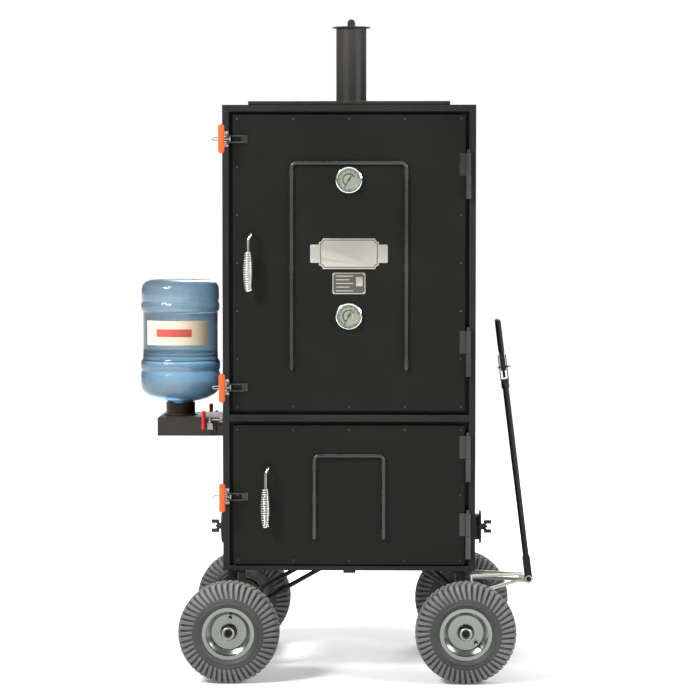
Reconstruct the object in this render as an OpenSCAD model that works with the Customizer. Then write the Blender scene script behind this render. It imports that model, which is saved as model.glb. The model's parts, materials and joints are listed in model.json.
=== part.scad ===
// Vertical water smoker on a steerable wheeled cart.
// Origin on the ground under the middle of the whole object, +Z up.
// +X points to the tow handle, -Y to the doors.

/* [Cabinet] */
// Width of the cabinet over its corner posts
cab_w = 830; // [760:1:1000]
// Depth of the cabinet over its corner posts
cab_d = 660; // [600:1:900]
// Height of the cabinet from bottom rail to roof
cab_h = 1529; // [1450:1:1850]
// Height of the cabinet floor above the ground
ground_gap = 357; // [350:1:450]
// Width of the corner posts and height of the rails, seen from the front
post_w = 22; // [18:1:30]
// Depth of the corner posts
post_d = 30; // [25:1:40]
// Wall of the square frame tubes
post_wall = 2; // [1.5:0.5:3]
// Height of the bottom rails
sill_h = 16; // [14:1:20]
// Height of the middle rail's centre above the cabinet floor
mid_rail_z = 503; // [450:1:560]
// Thickness of the outer sheet
skin_t = 2; // [1.5:0.5:3]
// Thickness of the inner liner sheet
liner_t = 2; // [1:0.5:3]
// Thickness of the insulation in walls, roof and floor
wool_t = 46; // [30:1:60]
// Thickness of the flat door jambs
jamb_t = 3; // [2:0.5:5]
// Diameter of the rod along the front edge of the roof
roof_rod_d = 12; // [8:1:16]
// Length of the roof rod
roof_rod_l = 660; // [400:1:700]

/* [Doors] */
// Gap between door edge and post
door_side_gap = 13; // [6:1:16]
// Gap above the upper door
door_top_gap = 11; // [6:1:16]
// Gap between the doors and the middle rail
door_mid_gap = 14; // [6:1:18]
// Gap under the lower door
door_sill_gap = 5; // [3:1:8]
// Depth of the door pans
door_t = 30; // [25:1:32]
// How far the door faces stand in front of the posts
door_proud = 6; // [4:1:8]
// Sheet of the door pans
door_skin = 2.5; // [1.5:0.5:4]
// Depth of the insulated plug behind each door
plug_t = 20; // [12:1:30]
// Width of the door gaskets
gasket_w = 18; // [12:1:22]
// Thickness of the gaskets
gasket_t = 5.7; // [4:0.1:6]
// Diameter of the stiffener rods on the doors
hoop_d = 12; // [8:1:16]
// Width of the upper stiffener, between rod centres
hoop_w_upper = 376; // [300:1:420]
// Length of the upper stiffener legs
hoop_h_upper = 677; // [500:1:720]
// Width of the lower stiffener, between rod centres
hoop_w_lower = 228; // [150:1:300]
// Length of the lower stiffener legs
hoop_h_lower = 274; // [200:1:320]
// Diameter of the thermometers
gauge_d = 88; // [70:1:100]
// Depth of the thermometer cases in front of the door
gauge_t = 14; // [10:1:18]
// Length of the thermometer stems behind the door plug
stem_out = 24; // [15:1:30]

/* [Hinges and latches] */
// Outer diameter of the hinge barrels
barrel_d = 18; // [16:1:18]
// Length of a hinge over both knuckles
hinge_l = 150; // [100:1:160]
// Diameter of the hinge pins
hinge_pin_d = 10; // [8:1:11]
// Radial clearance of pins and shafts in their bores
pin_play = 0.05; // [0.02:0.01:0.08]
// Gap between the two knuckles of a hinge
knuckle_gap = 1; // [0.5:0.5:2]
// Length of the door latches' T grips
latch_grip_l = 94; // [70:1:110]
// Diameter of the door latches' T grips
latch_grip_d = 21; // [14:1:22]
// Diameter of the latches' pull rods
latch_rod_d = 6; // [5:0.5:6]
// Length of the tank clamps' grips
clamp_grip_l = 63; // [40:1:80]
// Diameter of the tank clamps' grips
clamp_grip_d = 14; // [10:1:16]

/* [Chimney and vents] */
// Outer diameter of the chimney pipe
chimney_d = 102; // [80:1:120]
// Height of the chimney above the roof
chimney_h = 270; // [150:1:400]
// Wall of the chimney pipe
chimney_wall = 3; // [2:0.5:5]
// Diameter of the chimney cap
cap_d = 128; // [120:1:150]
// Diameter of the vent plates
vent_d = 116; // [90:1:130]
// Diameter of the air pipe behind each vent
vent_pipe_d = 90; // [60:1:100]
// Height of the vents above the cabinet floor
vent_z = 108; // [100:1:140]

/* [Water supply] */
// Length of the water tank along X
tank_w = 197; // [170:1:260]
// Width of the water tank along Y
tank_d = 280; // [250:1:400]
// Height of the water tank
tank_h = 60; // [54:1:90]
// Height of the tank's underside above the cabinet floor
tank_z = 428; // [400:1:460]
// Gap between cabinet and tank, filled by the bracket
tank_gap = 36; // [34:1:60]
// Diameter of the bottle
bottle_d = 270; // [220:1:280]
// Height of the bottle's body above the collar
bottle_h = 416; // [330:1:430]
// Outer diameter of the collar that holds the bottle's neck
collar_d = 98; // [88:1:110]
// Height of the collar above the tank
collar_h = 44; // [42:1:70]
// Bottle axis, in from the tank's outer side
bottle_inset = 66; // [60:1:110]

/* [Inside] */
// Number of cooking racks
rack_count = 5; // [3:1:6]
// Height of the lowest rack above the cabinet floor
rack_z = 653; // [640:1:700]
// Distance between racks
rack_pitch = 152; // [120:1:160]
// Diameter of the rack wires
wire_d = 5; // [4:0.5:6]
// Depth of the water pan
pan_h = 90; // [60:1:110]

/* [Cart] */
// Outer diameter of the tyres
tyre_d = 330; // [300:1:340]
// Width of the tyres
tyre_w = 127; // [110:1:140]
// Diameter of the wheel rims at the bead seat
rim_d = 152; // [140:1:160]
// Distance between tyre mid-planes along Y
track = 800; // [780:1:900]
// Distance between the two axles
wheelbase = 774; // [700:1:800]
// Diameter of the wheel spindles
spindle_d = 25.4; // [20:0.1:30]
// Width of the square axle beams
beam_w = 38; // [30:1:45]
// Reach of the tow pivot beyond the cabinet's side
tow_gap = 190; // [178:1:268]
// Height of the tow pivot above the ground
tow_z = 287; // [270:1:300]
// Length of the tow tube
tow_l = 600; // [500:1:800]
// Diameter of the tow tube
tow_d = 21; // [16:1:26]
// Lean of the parked tow handle towards the cabinet, in degrees
tow_lean = 7; // [2:0.5:10]
// Height of the hand grip loop
grip_h = 118; // [100:1:150]
// Width of the hand grip loop
grip_w = 120; // [100:1:140]

/* [Hidden] */

// Small gap between pieces that are welded or laid against each other
fit = 0.2;
// Play between pieces that move past each other
play = 0.3;
// Fineness of round features, and of hand-sized ones
$fn = 48;
fine = 96;

half_w = cab_w / 2;
half_d = cab_d / 2;
z0 = ground_gap;
z1 = ground_gap + cab_h;
inner_w = half_w - skin_t - wool_t - liner_t - 2;
post_in = half_w - post_w;
jamb_y = -half_d + post_d;
back_in = half_d - skin_t - wool_t - liner_t - 2;
roof_in = z1 - skin_t - wool_t - liner_t - 2;
floor_in = z0 + wool_t - 10;
jamb_lap = 30;
mid_z = z0 + mid_rail_z;

// Doors
door_half = post_in - door_side_gap;
door_y = -half_d - door_proud;
up_z1 = z1 - post_w - door_top_gap;
up_z0 = mid_z + post_w / 2 + door_mid_gap;
lo_z1 = mid_z - post_w / 2 - door_mid_gap;
lo_z0 = z0 + sill_h + door_sill_gap;
jamb_in = door_half - jamb_lap;

// Hinges: barrels stand in front of the gap beside the door
hinge_x = post_in - 3;
hinge_y = door_y - barrel_d / 2 + 3;
hinge_inset_top = 199;
hinge_inset_low = 188;
hinge_inset_lower_door = 95;
hinge_zs_upper = [up_z0 + hinge_inset_low, up_z1 - hinge_inset_top];
hinge_zs_lower = [lo_z0 + hinge_inset_lower_door, lo_z1 - hinge_inset_lower_door - 12];

// Latches: height of each on the left post
latch_zs = [up_z1 - 79, up_z0 + 77, lo_z0 + 224];
latch_px = -half_w + 13;
latch_py = -half_d - 13;
latch_rod_y = latch_py - 7;
latch_tx = latch_px - 14;
latch_bar_x = latch_px + 13.3;
latch_ear = 15;
latch_grip_y = -half_d - 55;
latch_grip_x = -half_w + 1;

// Water supply
tank_x1 = -half_w - tank_gap;
tank_x0 = tank_x1 - tank_w;
tank_z0 = z0 + tank_z;
tank_z1 = tank_z0 + tank_h;
bottle_x = tank_x0 + bottle_inset;
collar_z1 = tank_z1 + collar_h;
sheet = 2;

// Cart
axle_z = tyre_d / 2;
fixed_x = -wheelbase / 2 - 4;
steer_x = wheelbase / 2 - 4;
tow_x = half_w + tow_gap;
hub_l = 96;
spindle_r = spindle_d / 2;
beam_half = track / 2 - hub_l / 2 - 4;
eye_r = 14;

// The origin sits under the middle of the whole object
left_reach = -bottle_x + bottle_d / 2;
right_reach = tow_x + eye_r;
mid_x = (right_reach - left_reach) / 2;

black = [0.14, 0.14, 0.14];
dark = [0.2, 0.2, 0.2];
steel = [0.72, 0.72, 0.7];
zinc = [0.75, 0.76, 0.72];
orange = [0.95, 0.38, 0.16];
red = [0.8, 0.13, 0.15];
wool = [0.85, 0.8, 0.62];
rubber = [0.3, 0.31, 0.32];
water = [0.6, 0.75, 0.88, 0.6];
cream = [0.88, 0.86, 0.78];

module on_cart() {
  translate([-mid_x, 0, 0]) children();
}

// Box between two corners
module block(lo, hi) {
  translate(lo) cube(hi - lo);
}

// Square tube that runs along Z, X or Y, with plain ends
module tube_z(lo, hi, wall) {
  difference() {
    block(lo, hi);
    block([lo[0] + wall, lo[1] + wall, lo[2] - 1], [hi[0] - wall, hi[1] - wall, hi[2] + 1]);
  }
}
module tube_x(lo, hi, wall) {
  difference() {
    block(lo, hi);
    block([lo[0] - 1, lo[1] + wall, lo[2] + wall], [hi[0] + 1, hi[1] - wall, hi[2] - wall]);
  }
}
module tube_y(lo, hi, wall) {
  difference() {
    block(lo, hi);
    block([lo[0] + wall, lo[1] - 1, lo[2] + wall], [hi[0] - wall, hi[1] + 1, hi[2] - wall]);
  }
}

// Round rod between two points
module rod(p, q, d) {
  v = q - p;
  l = norm(v);
  translate(p)
    rotate([0, acos(v[2] / l), atan2(v[1], v[0])])
      cylinder(d = d, h = l);
}

// Cylinders along X and Y
module disc_x(c, d, l, fn = 48) {
  translate(c) rotate([0, 90, 0]) cylinder(d = d, h = l, $fn = fn);
}
module disc_y(c, d, l, fn = 48) {
  translate(c) rotate([-90, 0, 0]) cylinder(d = d, h = l, $fn = fn);
}

// Flat plate with round ends between two points of the XY plane
module link2d(p, q, w) {
  v = q - p;
  translate(p) circle(d = w);
  translate(q) circle(d = w);
  translate(p)
    rotate(atan2(v[1], v[0]))
      translate([0, -w / 2])
        square([norm(v), w]);
}

// Rectangle with rounded corners, centred, in the XZ plane, extruded along Y
module soft_plate(w, h, r, y0, y1, z) {
  translate([0, y1, z])
    rotate([90, 0, 0])
      linear_extrude(y1 - y0) {
        square([w - 2 * r, h], center = true);
        square([w, h - 2 * r], center = true);
        for (sx = [-1, 1], sz = [-1, 1])
          translate([sx * (w / 2 - r), sz * (h / 2 - r)]) circle(r = r);
      }
}

// ---- Cabinet ----

module corner_posts() {
  for (sx = [-1, 1], sy = [-1, 1]) {
    x = sx > 0 ? post_in : -half_w;
    y = sy > 0 ? half_d - post_d : -half_d;
    tube_z([x, y, z0], [x + post_w, y + post_d, z1], post_wall);
  }
}

module cross_rails() {
  xr = post_in - fit;
  yr = half_d - post_d - fit;
  for (sy = [-1, 1]) {
    y = sy > 0 ? half_d - post_d : -half_d;
    tube_x([-xr, y, z1 - post_w], [xr, y + post_d, z1], post_wall);
    tube_x([-xr, y, z0], [xr, y + post_d, z0 + sill_h], post_wall);
  }
  tube_x([-xr, -half_d, mid_z - post_w / 2], [xr, jamb_y, mid_z + post_w / 2], post_wall);
  for (sx = [-1, 1]) {
    x = sx > 0 ? post_in : -half_w;
    tube_y([x, -yr, z1 - post_w], [x + post_w, yr, z1], post_wall);
    tube_y([x, -yr, z0], [x + post_w, yr, z0 + sill_h], post_wall);
  }
}

// Flat bars behind the posts that the door gaskets close on
module door_jambs() {
  y0 = jamb_y + fit;
  y1 = y0 + jamb_t;
  side_x = half_w - skin_t - 2;
  for (sx = [-1, 1])
    block([sx > 0 ? jamb_in : -side_x, y0, z0 + sill_h + fit],
          [sx > 0 ? side_x : -jamb_in, y1, z1 - skin_t - 2]);
  w = jamb_in - fit;
  block([-w, y0, up_z1 - jamb_lap], [w, y1, z1 - skin_t - 2]);
  block([-w, y0, lo_z1 - jamb_lap], [w, y1, up_z0 + jamb_lap]);
  block([-w, y0, z0 + sill_h + fit], [w, y1, lo_z0 + jamb_lap]);
}

module roof_rod() {
  y = -half_d + roof_rod_d / 2;
  z = z1 + roof_rod_d / 2 + fit;
  rod([-roof_rod_l / 2, y, z], [roof_rod_l / 2, y, z], roof_rod_d);
}

module frame_rails() {
  on_cart() color(black) {
    corner_posts();
    cross_rails();
    door_jambs();
    roof_rod();
  }
}

module vent_hole(x, l) {
  disc_x([x, 0, z0 + vent_z], vent_pipe_d - 8, l);
}

module outer_panels() {
  y = half_d - post_d - fit;
  zl = z0 + sill_h + fit;
  zh = z1 - post_w - fit;
  pipe_hole = chimney_d + 2 * fit;
  on_cart() color(black) {
    for (sx = [-1, 1])
      difference() {
        block([sx > 0 ? half_w - skin_t - 1 : -half_w + 1, -y, zl],
              [sx > 0 ? half_w - 1 : -half_w + 1 + skin_t, y, zh]);
        vent_hole(sx > 0 ? half_w - 10 : -half_w - 5, 15);
        if (sx < 0) feed_hole(-half_w - 5, 15);
      }
    block([-post_in + fit, half_d - skin_t - 1, zl], [post_in - fit, half_d - 1, zh]);
    difference() {
      block([-post_in + fit, -y, z1 - skin_t - 1], [post_in - fit, y, z1 - 1]);
      translate([0, 0, z1 - 5]) cylinder(d = pipe_hole, h = 10);
    }
    block([-post_in + fit, -y, z0], [post_in - fit, y, z0 + skin_t]);
  }
}

module liner() {
  y0 = jamb_y + jamb_t + 2 * fit;
  y1 = back_in;
  on_cart() color(dark) {
    for (sx = [-1, 1])
      difference() {
        block([sx > 0 ? inner_w : -inner_w - liner_t, y0, floor_in],
              [sx > 0 ? inner_w + liner_t : -inner_w, y1 + liner_t, roof_in + liner_t]);
        vent_hole(sx > 0 ? inner_w - 3 : -inner_w - 8, 12);
        if (sx < 0) feed_hole(-inner_w - 8, 15);
      }
    w = inner_w - fit;
    block([-w, y1, floor_in], [w, y1 + liner_t, roof_in + liner_t]);
    difference() {
      block([-w, y0, roof_in], [w, y1 - fit, roof_in + liner_t]);
      translate([0, 0, roof_in - 5]) cylinder(d = chimney_d + 2 * fit, h = 15);
    }
    block([-w, y0, floor_in], [w, y1 - fit, floor_in + liner_t]);
  }
}

module insulation() {
  g = 2 * fit;
  y0 = jamb_y + jamb_t + g;
  xa = inner_w + liner_t + g;
  xb = half_w - skin_t - 1 - g;
  yb = half_d - skin_t - 1 - g;
  zt0 = roof_in + liner_t + g;
  zt1 = z1 - skin_t - 1 - g;
  zf0 = z0 + skin_t + g;
  zl = z0 + sill_h + g;
  yin = half_d - post_d - g;
  xin = post_in - g;
  on_cart() color(wool) {
    // Side slabs stay clear of posts and rails
    for (sx = [-1, 1])
      difference() {
        block([sx > 0 ? xa : -xin, y0, zl], [sx > 0 ? xin : -xa, yin, zt0 - g]);
        vent_hole(sx > 0 ? xa - 10 : -xin - 10, wool_t + 20);
        if (sx < 0) feed_hole(-xin - 10, wool_t + 20);
      }
    block([-xa + g, back_in + liner_t + g, zl], [xa - g, yb, zt0 - g]);
    difference() {
      block([-xin, y0, zt0], [xin, yin, zt1]);
      translate([0, 0, zt0 - 5]) cylinder(d = chimney_d + 2 * fit, h = wool_t + 10);
    }
    block([-xa + g, y0, zf0], [xa - g, back_in - g, floor_in - g]);
  }
}

// ---- Chimney ----

module chimney_pipe() {
  on_cart() color(dark)
    translate([0, 0, roof_in])
      difference() {
        cylinder(d = chimney_d, h = z1 + chimney_h - roof_in, $fn = fine);
        translate([0, 0, -1])
          cylinder(d = chimney_d - 2 * chimney_wall, h = z1 + chimney_h - roof_in + 2, $fn = fine);
      }
  // Lug on the back of the pipe that carries the cap's pivot
  on_cart() color(dark) {
    y = chimney_d / 2;
    zt = z1 + chimney_h;
    difference() {
      block([-8, y - 1, zt - 30], [8, y + 14, zt - play]);
      cap_pivot(cap_pin_d / 2 + pin_play);
    }
  }
}

cap_pin_d = 8;
cap_pin_y = chimney_d / 2 + 7;
cap_t = 3;
cap_tab_w = 26;
module cap_pivot(r) {
  translate([0, cap_pin_y, z1 + chimney_h - 40]) cylinder(r = r, h = 60);
}

module chimney_cap() {
  z = z1 + chimney_h + play;
  on_cart() color(dark) {
    translate([0, 0, z]) cylinder(d = cap_d, h = cap_t, $fn = fine);
    // Pivot bolt and its head
    translate([0, cap_pin_y, z - 28]) cylinder(d = cap_pin_d, h = 28 + cap_t);
    translate([0, cap_pin_y, z + cap_t]) cylinder(d = 14, h = 5, $fn = 6);
    // Upright tab with a round top
    tab_z = z + cap_t;
    block([-cap_tab_w / 2, -1.5, tab_z], [cap_tab_w / 2, 1.5, tab_z + 14]);
    disc_y([0, -1.5, tab_z + 14], cap_tab_w, 3);
  }
}

// ---- Inside ----

rail_drop = 14;
rack_w = 2 * (inner_w - 6);
rack_y0 = jamb_y + jamb_t + plug_t + stem_out + 12;
rack_y1 = back_in - 12;
function rack_height(i) = z0 + rack_z + i * rack_pitch;

module rack_rails() {
  on_cart() color(dark)
    for (i = [0 : rack_count - 1], sx = [-1, 1]) {
      z = rack_height(i);
      xo = inner_w - fit;
      xi = xo - 22;
      // Angle iron: a shelf leg and an upright leg
      block([sx > 0 ? xi : -xo, rack_y0, z - 3], [sx > 0 ? xo : -xi, rack_y1, z]);
      block([sx > 0 ? xo - 3 : -xo, rack_y0, z - rail_drop - 3],
            [sx > 0 ? xo : -xo + 3, rack_y1, z - 3 + 0.5]);
    }
}

// One wire rack: two runners, two end bars and the cross wires
module wire_rack(z) {
  x = rack_w / 2 - wire_d;
  zw = z + wire_d * 0.5 + fit;
  runners = 5;
  wires = 19;
  for (i = [0 : runners - 1]) {
    rx = -x + 2 * x * i / (runners - 1);
    rod([rx, rack_y0 + 3, zw], [rx, rack_y1 - 3, zw], wire_d);
  }
  for (j = [0 : wires - 1]) {
    wy = rack_y0 + 3 + wire_d + (rack_y1 - rack_y0 - 6 - 2 * wire_d) * j / (wires - 1);
    rod([-x - wire_d / 2, wy, zw + wire_d * 0.7], [x + wire_d / 2, wy, zw + wire_d * 0.7], wire_d);
  }
}

module cooking_racks() {
  on_cart() color(steel)
    for (i = [0 : rack_count - 1])
      wire_rack(rack_height(i));
}

pan_w = 2 * inner_w - 70;
pan_z = tank_z0 - 14;
pan_y0 = rack_y0;
pan_y1 = back_in - 20;
module water_pan() {
  hw = pan_w / 2;
  za = pan_z + sheet + fit;
  zb = pan_z + pan_h;
  yi = pan_y0 + sheet + fit;
  yo = pan_y1 - sheet - fit;
  on_cart() color(steel) {
    block([-hw, pan_y0, pan_z], [hw, pan_y1, pan_z + sheet]);
    block([-hw, pan_y0, za], [hw, pan_y0 + sheet, zb]);
    block([-hw, pan_y1 - sheet, za], [hw, pan_y1, zb]);
    block([hw - sheet, yi, za], [hw, yo, zb]);
    difference() {
      block([-hw, yi, za], [-hw + sheet, yo, zb]);
      feed_hole(-hw - 5, 10);
    }
    // Shelf angles that the pan stands on
    for (sx = [-1, 1])
      block([sx > 0 ? hw - 10 : -inner_w + fit, pan_y0, pan_z - 3 - fit],
            [sx > 0 ? inner_w - fit : -hw + 10, pan_y1, pan_z - fit]);
  }
}

feed_d = 34;
feed_z = tank_z0 + sheet + feed_d / 2 + 5;
module feed_hole(x, l) {
  disc_x([x, 0, feed_z], feed_d + 2 * fit, l);
}
module feed_pipe() {
  x0 = tank_x1 - sheet - 12;
  x1 = -inner_w + 60;
  on_cart() color(steel)
    difference() {
      disc_x([x0, 0, feed_z], feed_d, x1 - x0);
      disc_x([x0 - 1, 0, feed_z], feed_d - 5, x1 - x0 + 2);
    }
}

basket_w = 480;
basket_d = 360;
basket_h = 170;
module charcoal_basket() {
  z = floor_in + liner_t + 75;
  t = 3;
  bars = 12;
  on_cart() color(dark) {
    difference() {
      block([-basket_w / 2, -basket_d / 2, z], [basket_w / 2, basket_d / 2, z + basket_h]);
      block([-basket_w / 2 + t, -basket_d / 2 + t, z + t],
            [basket_w / 2 - t, basket_d / 2 - t, z + basket_h + 1]);
      // Air slots in the floor and the long sides
      for (i = [0 : bars - 1]) {
        x = -basket_w / 2 + 30 + (basket_w - 60) * i / (bars - 1);
        block([x - 8, -basket_d / 2 + 20, z - 1], [x + 8, basket_d / 2 - 20, z + t + 1]);
        block([x - 8, -basket_d / 2 - 1, z + 25], [x + 8, basket_d / 2 + 1, z + basket_h - 25]);
      }
    }
    for (sx = [-1, 1], sy = [-1, 1])
      block([sx * (basket_w / 2 - 14) - 8, sy * (basket_d / 2 - 14) - 8, floor_in + liner_t + fit],
            [sx * (basket_w / 2 - 14) + 8, sy * (basket_d / 2 - 14) + 8, z]);
  }
}

ash_h = 35;
module ash_pan() {
  z = floor_in + liner_t + fit;
  w = basket_w / 2 - 40;
  d = basket_d / 2 + 20;
  on_cart() color(dark)
    difference() {
      block([-w, -d, z], [w, d, z + ash_h]);
      block([-w + sheet, -d + sheet, z + sheet], [w - sheet, d - sheet, z + ash_h + 1]);
    }
}

// ---- Doors ----

// Pan with folded edges, open at the back
module door_pan(za, zb) {
  w = 2 * door_half;
  h = zb - za;
  zc = (za + zb) / 2;
  difference() {
    soft_plate(w, h, 5, door_y, door_y + door_t, zc);
    soft_plate(w - 2 * door_skin, h - 2 * door_skin, 3, door_y + door_skin, door_y + door_t + 1, zc);
  }
}

// Back sheet of a door with its insulated plug
module door_plug(za, zb) {
  h = zb - za;
  zc = (za + zb) / 2;
  y = door_y + door_t;
  lip = jamb_lap + 15;
  soft_plate(2 * door_half - 2 * door_skin - 1, h - 2 * door_skin - 1, 3, y - 2, y, zc);
  soft_plate(2 * door_half - 2 * lip, h - 2 * lip, 8, y - 0.5, y + plug_t, zc);
}

// Rope gasket laid as a frame on the back of a door
module gasket(za, zb) {
  y0 = door_y + door_t + fit;
  y1 = y0 + gasket_t - play - fit;
  m = 6;
  w = door_half - m;
  for (sx = [-1, 1])
    block([sx > 0 ? w - gasket_w : -w, y0, za + m], [sx > 0 ? w : -w + gasket_w, y1, zb - m]);
  wi = w - gasket_w - fit;
  block([-wi, y0, za + m], [wi, y1, za + m + gasket_w]);
  block([-wi, y0, zb - m - gasket_w], [wi, y1, zb - m]);
}

// Bent rod welded on a door: two legs joined by a crossbar
module hoop(w, h, top_z) {
  r = hoop_d / 2;
  y = door_y - r - fit;
  bend = 16;
  for (sx = [-1, 1]) {
    rod([sx * w / 2, y, top_z - h], [sx * w / 2, y, top_z - bend], hoop_d);
    translate([sx * (w / 2 - bend), y, top_z - bend])
      rotate([90, 0, 0])
        rotate([0, 0, sx > 0 ? 0 : 90])
          rotate_extrude(angle = 90)
            translate([bend, 0]) circle(r = r);
  }
  rod([-w / 2 + bend, y, top_z], [w / 2 - bend, y, top_z], hoop_d);
}

// Rod handle with a barrel-shaped wire coil, hung from the door face
handle_off = 40;
handle_rod_d = 10;
coil_d = 37;
coil_l = 122;
coil_turns = 16;
module coil_handle(x, top_z, stem_l) {
  y = door_y - handle_off;
  bend = 14;
  wire = coil_l / coil_turns;
  zb = top_z - stem_l - coil_l;
  rod([x, door_y - fit, top_z], [x, y + bend, top_z], handle_rod_d);
  translate([x, y + bend, top_z - bend])
    rotate([0, 90, 0])
      rotate([0, 0, 180])
        rotate_extrude(angle = 90)
          translate([bend, 0]) circle(d = handle_rod_d);
  rod([x, y, zb - 6], [x, y, top_z - bend], handle_rod_d);
  // Outline of the coil: one scallop for each turn on a barrel
  barrel = [for (i = [0 : coil_turns - 1], a = [0, 0.25, 0.5, 0.75])
    let (t = (i + a) / coil_turns,
         r = (coil_d / 2 - 6) * sin(180 * (0.12 + 0.76 * t)) + 6)
      [r - wire * 0.28 * pow(abs(2 * a - 1), 2), t * coil_l]];
  translate([x, y, zb])
    rotate_extrude()
      polygon(concat([[0, 0]], barrel, [[7, coil_l], [0, coil_l]]));
}

// Knuckle welded to a leaf on the door face
module door_knuckle(z) {
  h = hinge_l / 2 - knuckle_gap / 2;
  zb = z + knuckle_gap / 2;
  difference() {
    union() {
      translate([hinge_x, hinge_y, zb]) cylinder(d = barrel_d, h = h);
      block([hinge_x - 26, door_y - 3 - fit, zb], [hinge_x - 5, door_y - fit, zb + h]);
    }
    translate([hinge_x, hinge_y, zb - 1]) cylinder(d = hinge_pin_d + 2 * pin_play, h = h + 2);
  }
}

// Fork on the door that the latch bolt's head pulls on
fork_rod = 5;
fork_z = 10.5;
module latch_fork(z) {
  xp = latch_bar_x + 44;
  xf = latch_bar_x - fork_rod - play;
  soft_pad = 13;
  block([xp - 7, door_y - 3 - fit, z - soft_pad], [xp + 13, door_y - fit, z + soft_pad]);
  for (s = [-1, 1]) {
    zc = z + s * fork_z;
    rod([xp, door_y - 1, zc], [xp, latch_rod_y, zc], fork_rod);
    translate([xp, latch_rod_y, zc]) sphere(d = fork_rod, $fn = 24);
    rod([xp, latch_rod_y, zc], [xf, latch_rod_y, zc], fork_rod);
    translate([xf, latch_rod_y, zc]) sphere(d = fork_rod, $fn = 24);
    rod([xf, latch_rod_y, zc], [xf, latch_rod_y, z + s * (latch_rod_d / 2 + 0.8)], fork_rod);
  }
}

module upper_door_pan() {
  on_cart() color(black) {
    difference() {
      door_pan(up_z0, up_z1);
      for (z = gauge_zs) disc_y([0, door_y - 1, z], 14, door_t);
    }
  }
}
module upper_door_liner() {
  on_cart() color(dark)
    difference() {
      door_plug(up_z0, up_z1);
      for (z = gauge_zs) disc_y([0, door_y, z], 8, door_t + plug_t + 10);
    }
}
module upper_gasket() {
  on_cart() color(wool) gasket(up_z0, up_z1);
}
module upper_stiffener() {
  on_cart() color(black) hoop(hoop_w_upper, hoop_h_upper, up_z1 - 157);
}
module upper_handle() {
  on_cart() color(steel) coil_handle(-door_half + 52, up_z0 + 582, 62);
}
module upper_door_fittings() {
  on_cart() color(black) {
    for (z = hinge_zs_upper) door_knuckle(z);
    latch_fork(latch_zs[0]);
    latch_fork(latch_zs[1]);
  }
}
module lower_door_pan() {
  on_cart() color(black) door_pan(lo_z0, lo_z1);
}
module lower_door_liner() {
  on_cart() color(dark) door_plug(lo_z0, lo_z1);
}
module lower_gasket() {
  on_cart() color(wool) gasket(lo_z0, lo_z1);
}
module lower_stiffener() {
  on_cart() color(black) hoop(hoop_w_lower, hoop_h_lower, lo_z1 - 98);
}
module lower_handle() {
  on_cart() color(steel) coil_handle(-door_half + 107, lo_z1 - 134, 70);
}
module lower_door_fittings() {
  on_cart() color(black) {
    for (z = hinge_zs_lower) door_knuckle(z);
    latch_fork(latch_zs[2]);
  }
}

// Lower knuckles on the post, with the hinge pins
module frame_knuckles() {
  h = hinge_l / 2 - knuckle_gap / 2;
  on_cart() color(dark)
    for (z = concat(hinge_zs_upper, hinge_zs_lower)) {
      translate([hinge_x, hinge_y, z - hinge_l / 2]) cylinder(d = barrel_d, h = h);
      translate([hinge_x, hinge_y, z - 20]) cylinder(d = hinge_pin_d, h = hinge_l / 2 + 31);
      block([hinge_x + 3, hinge_y, z - hinge_l / 2], [hinge_x + 8, -half_d - fit, z - knuckle_gap / 2]);
    }
}

// ---- Thermometers and plates ----

gauge_zs = [up_z1 - 212, up_z0 + 311];
gauge_axle_d = 3;
module thermometer_cases() {
  on_cart() color(steel)
    for (z = gauge_zs) {
      y0 = door_y - gauge_t;
      difference() {
        disc_y([0, y0, z], gauge_d, gauge_t - fit, fine);
        disc_y([0, y0 - 1, z], gauge_d - 12, gauge_t - 4, fine);
      }
      disc_y([0, y0 + 4, z], gauge_axle_d, gauge_t - 6);
      disc_y([0, door_y - 1, z], 6, door_t + plug_t + stem_out);
    }
}
needle_rest = 210;
module needle(z) {
  y = door_y - gauge_t + 5.5;
  r = gauge_d / 2;
  translate([0, y, z])
    rotate([0, needle_rest, 0])
      difference() {
        union() {
          block([-1.2, 0, 0], [1.2, 1, r * 0.68]);
          block([-2, 0, -r * 0.32], [2, 1, 0]);
          disc_y([0, 0, 0], 8, 1);
        }
        disc_y([0, -1, 0], gauge_axle_d + 2 * pin_play, 3);
      }
}
module needle_upper() {
  on_cart() color(black) needle(gauge_zs[0]);
}
module needle_lower() {
  on_cart() color(black) needle(gauge_zs[1]);
}
module door_plates() {
  zn = up_z0 + 515;
  zd = up_z0 + 418;
  on_cart() color(cream) {
    soft_plate(257, 62, 6, door_y - 2.2, door_y - fit, zn);
    soft_plate(196, 104, 14, door_y - 2.2, door_y - fit, zn);
    soft_plate(108, 70, 4, door_y - 1.6, door_y - fit, zd);
  }
}

// ---- Door latches ----

module latch_bases() {
  on_cart() color(steel) {
    for (z = latch_zs) {
      block([latch_px - 9, -half_d - 3, z - 26], [latch_px + 8, -half_d - fit, z + 26]);
      for (s = [-1, 1])
        block([latch_px - 7, latch_py - 6, z + s * (latch_ear - 1.5) - 1.5],
              [latch_px + 4, -half_d - 2.5, z + s * (latch_ear - 1.5) + 1.5]);
      translate([latch_px, latch_py, z - latch_ear]) cylinder(d = 6, h = 2 * latch_ear);
    }
    // Plates on the tank top and bracket that the tank clamps pull together
    for (s = [-1, 1]) clamp_base(s);
  }
}

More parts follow.
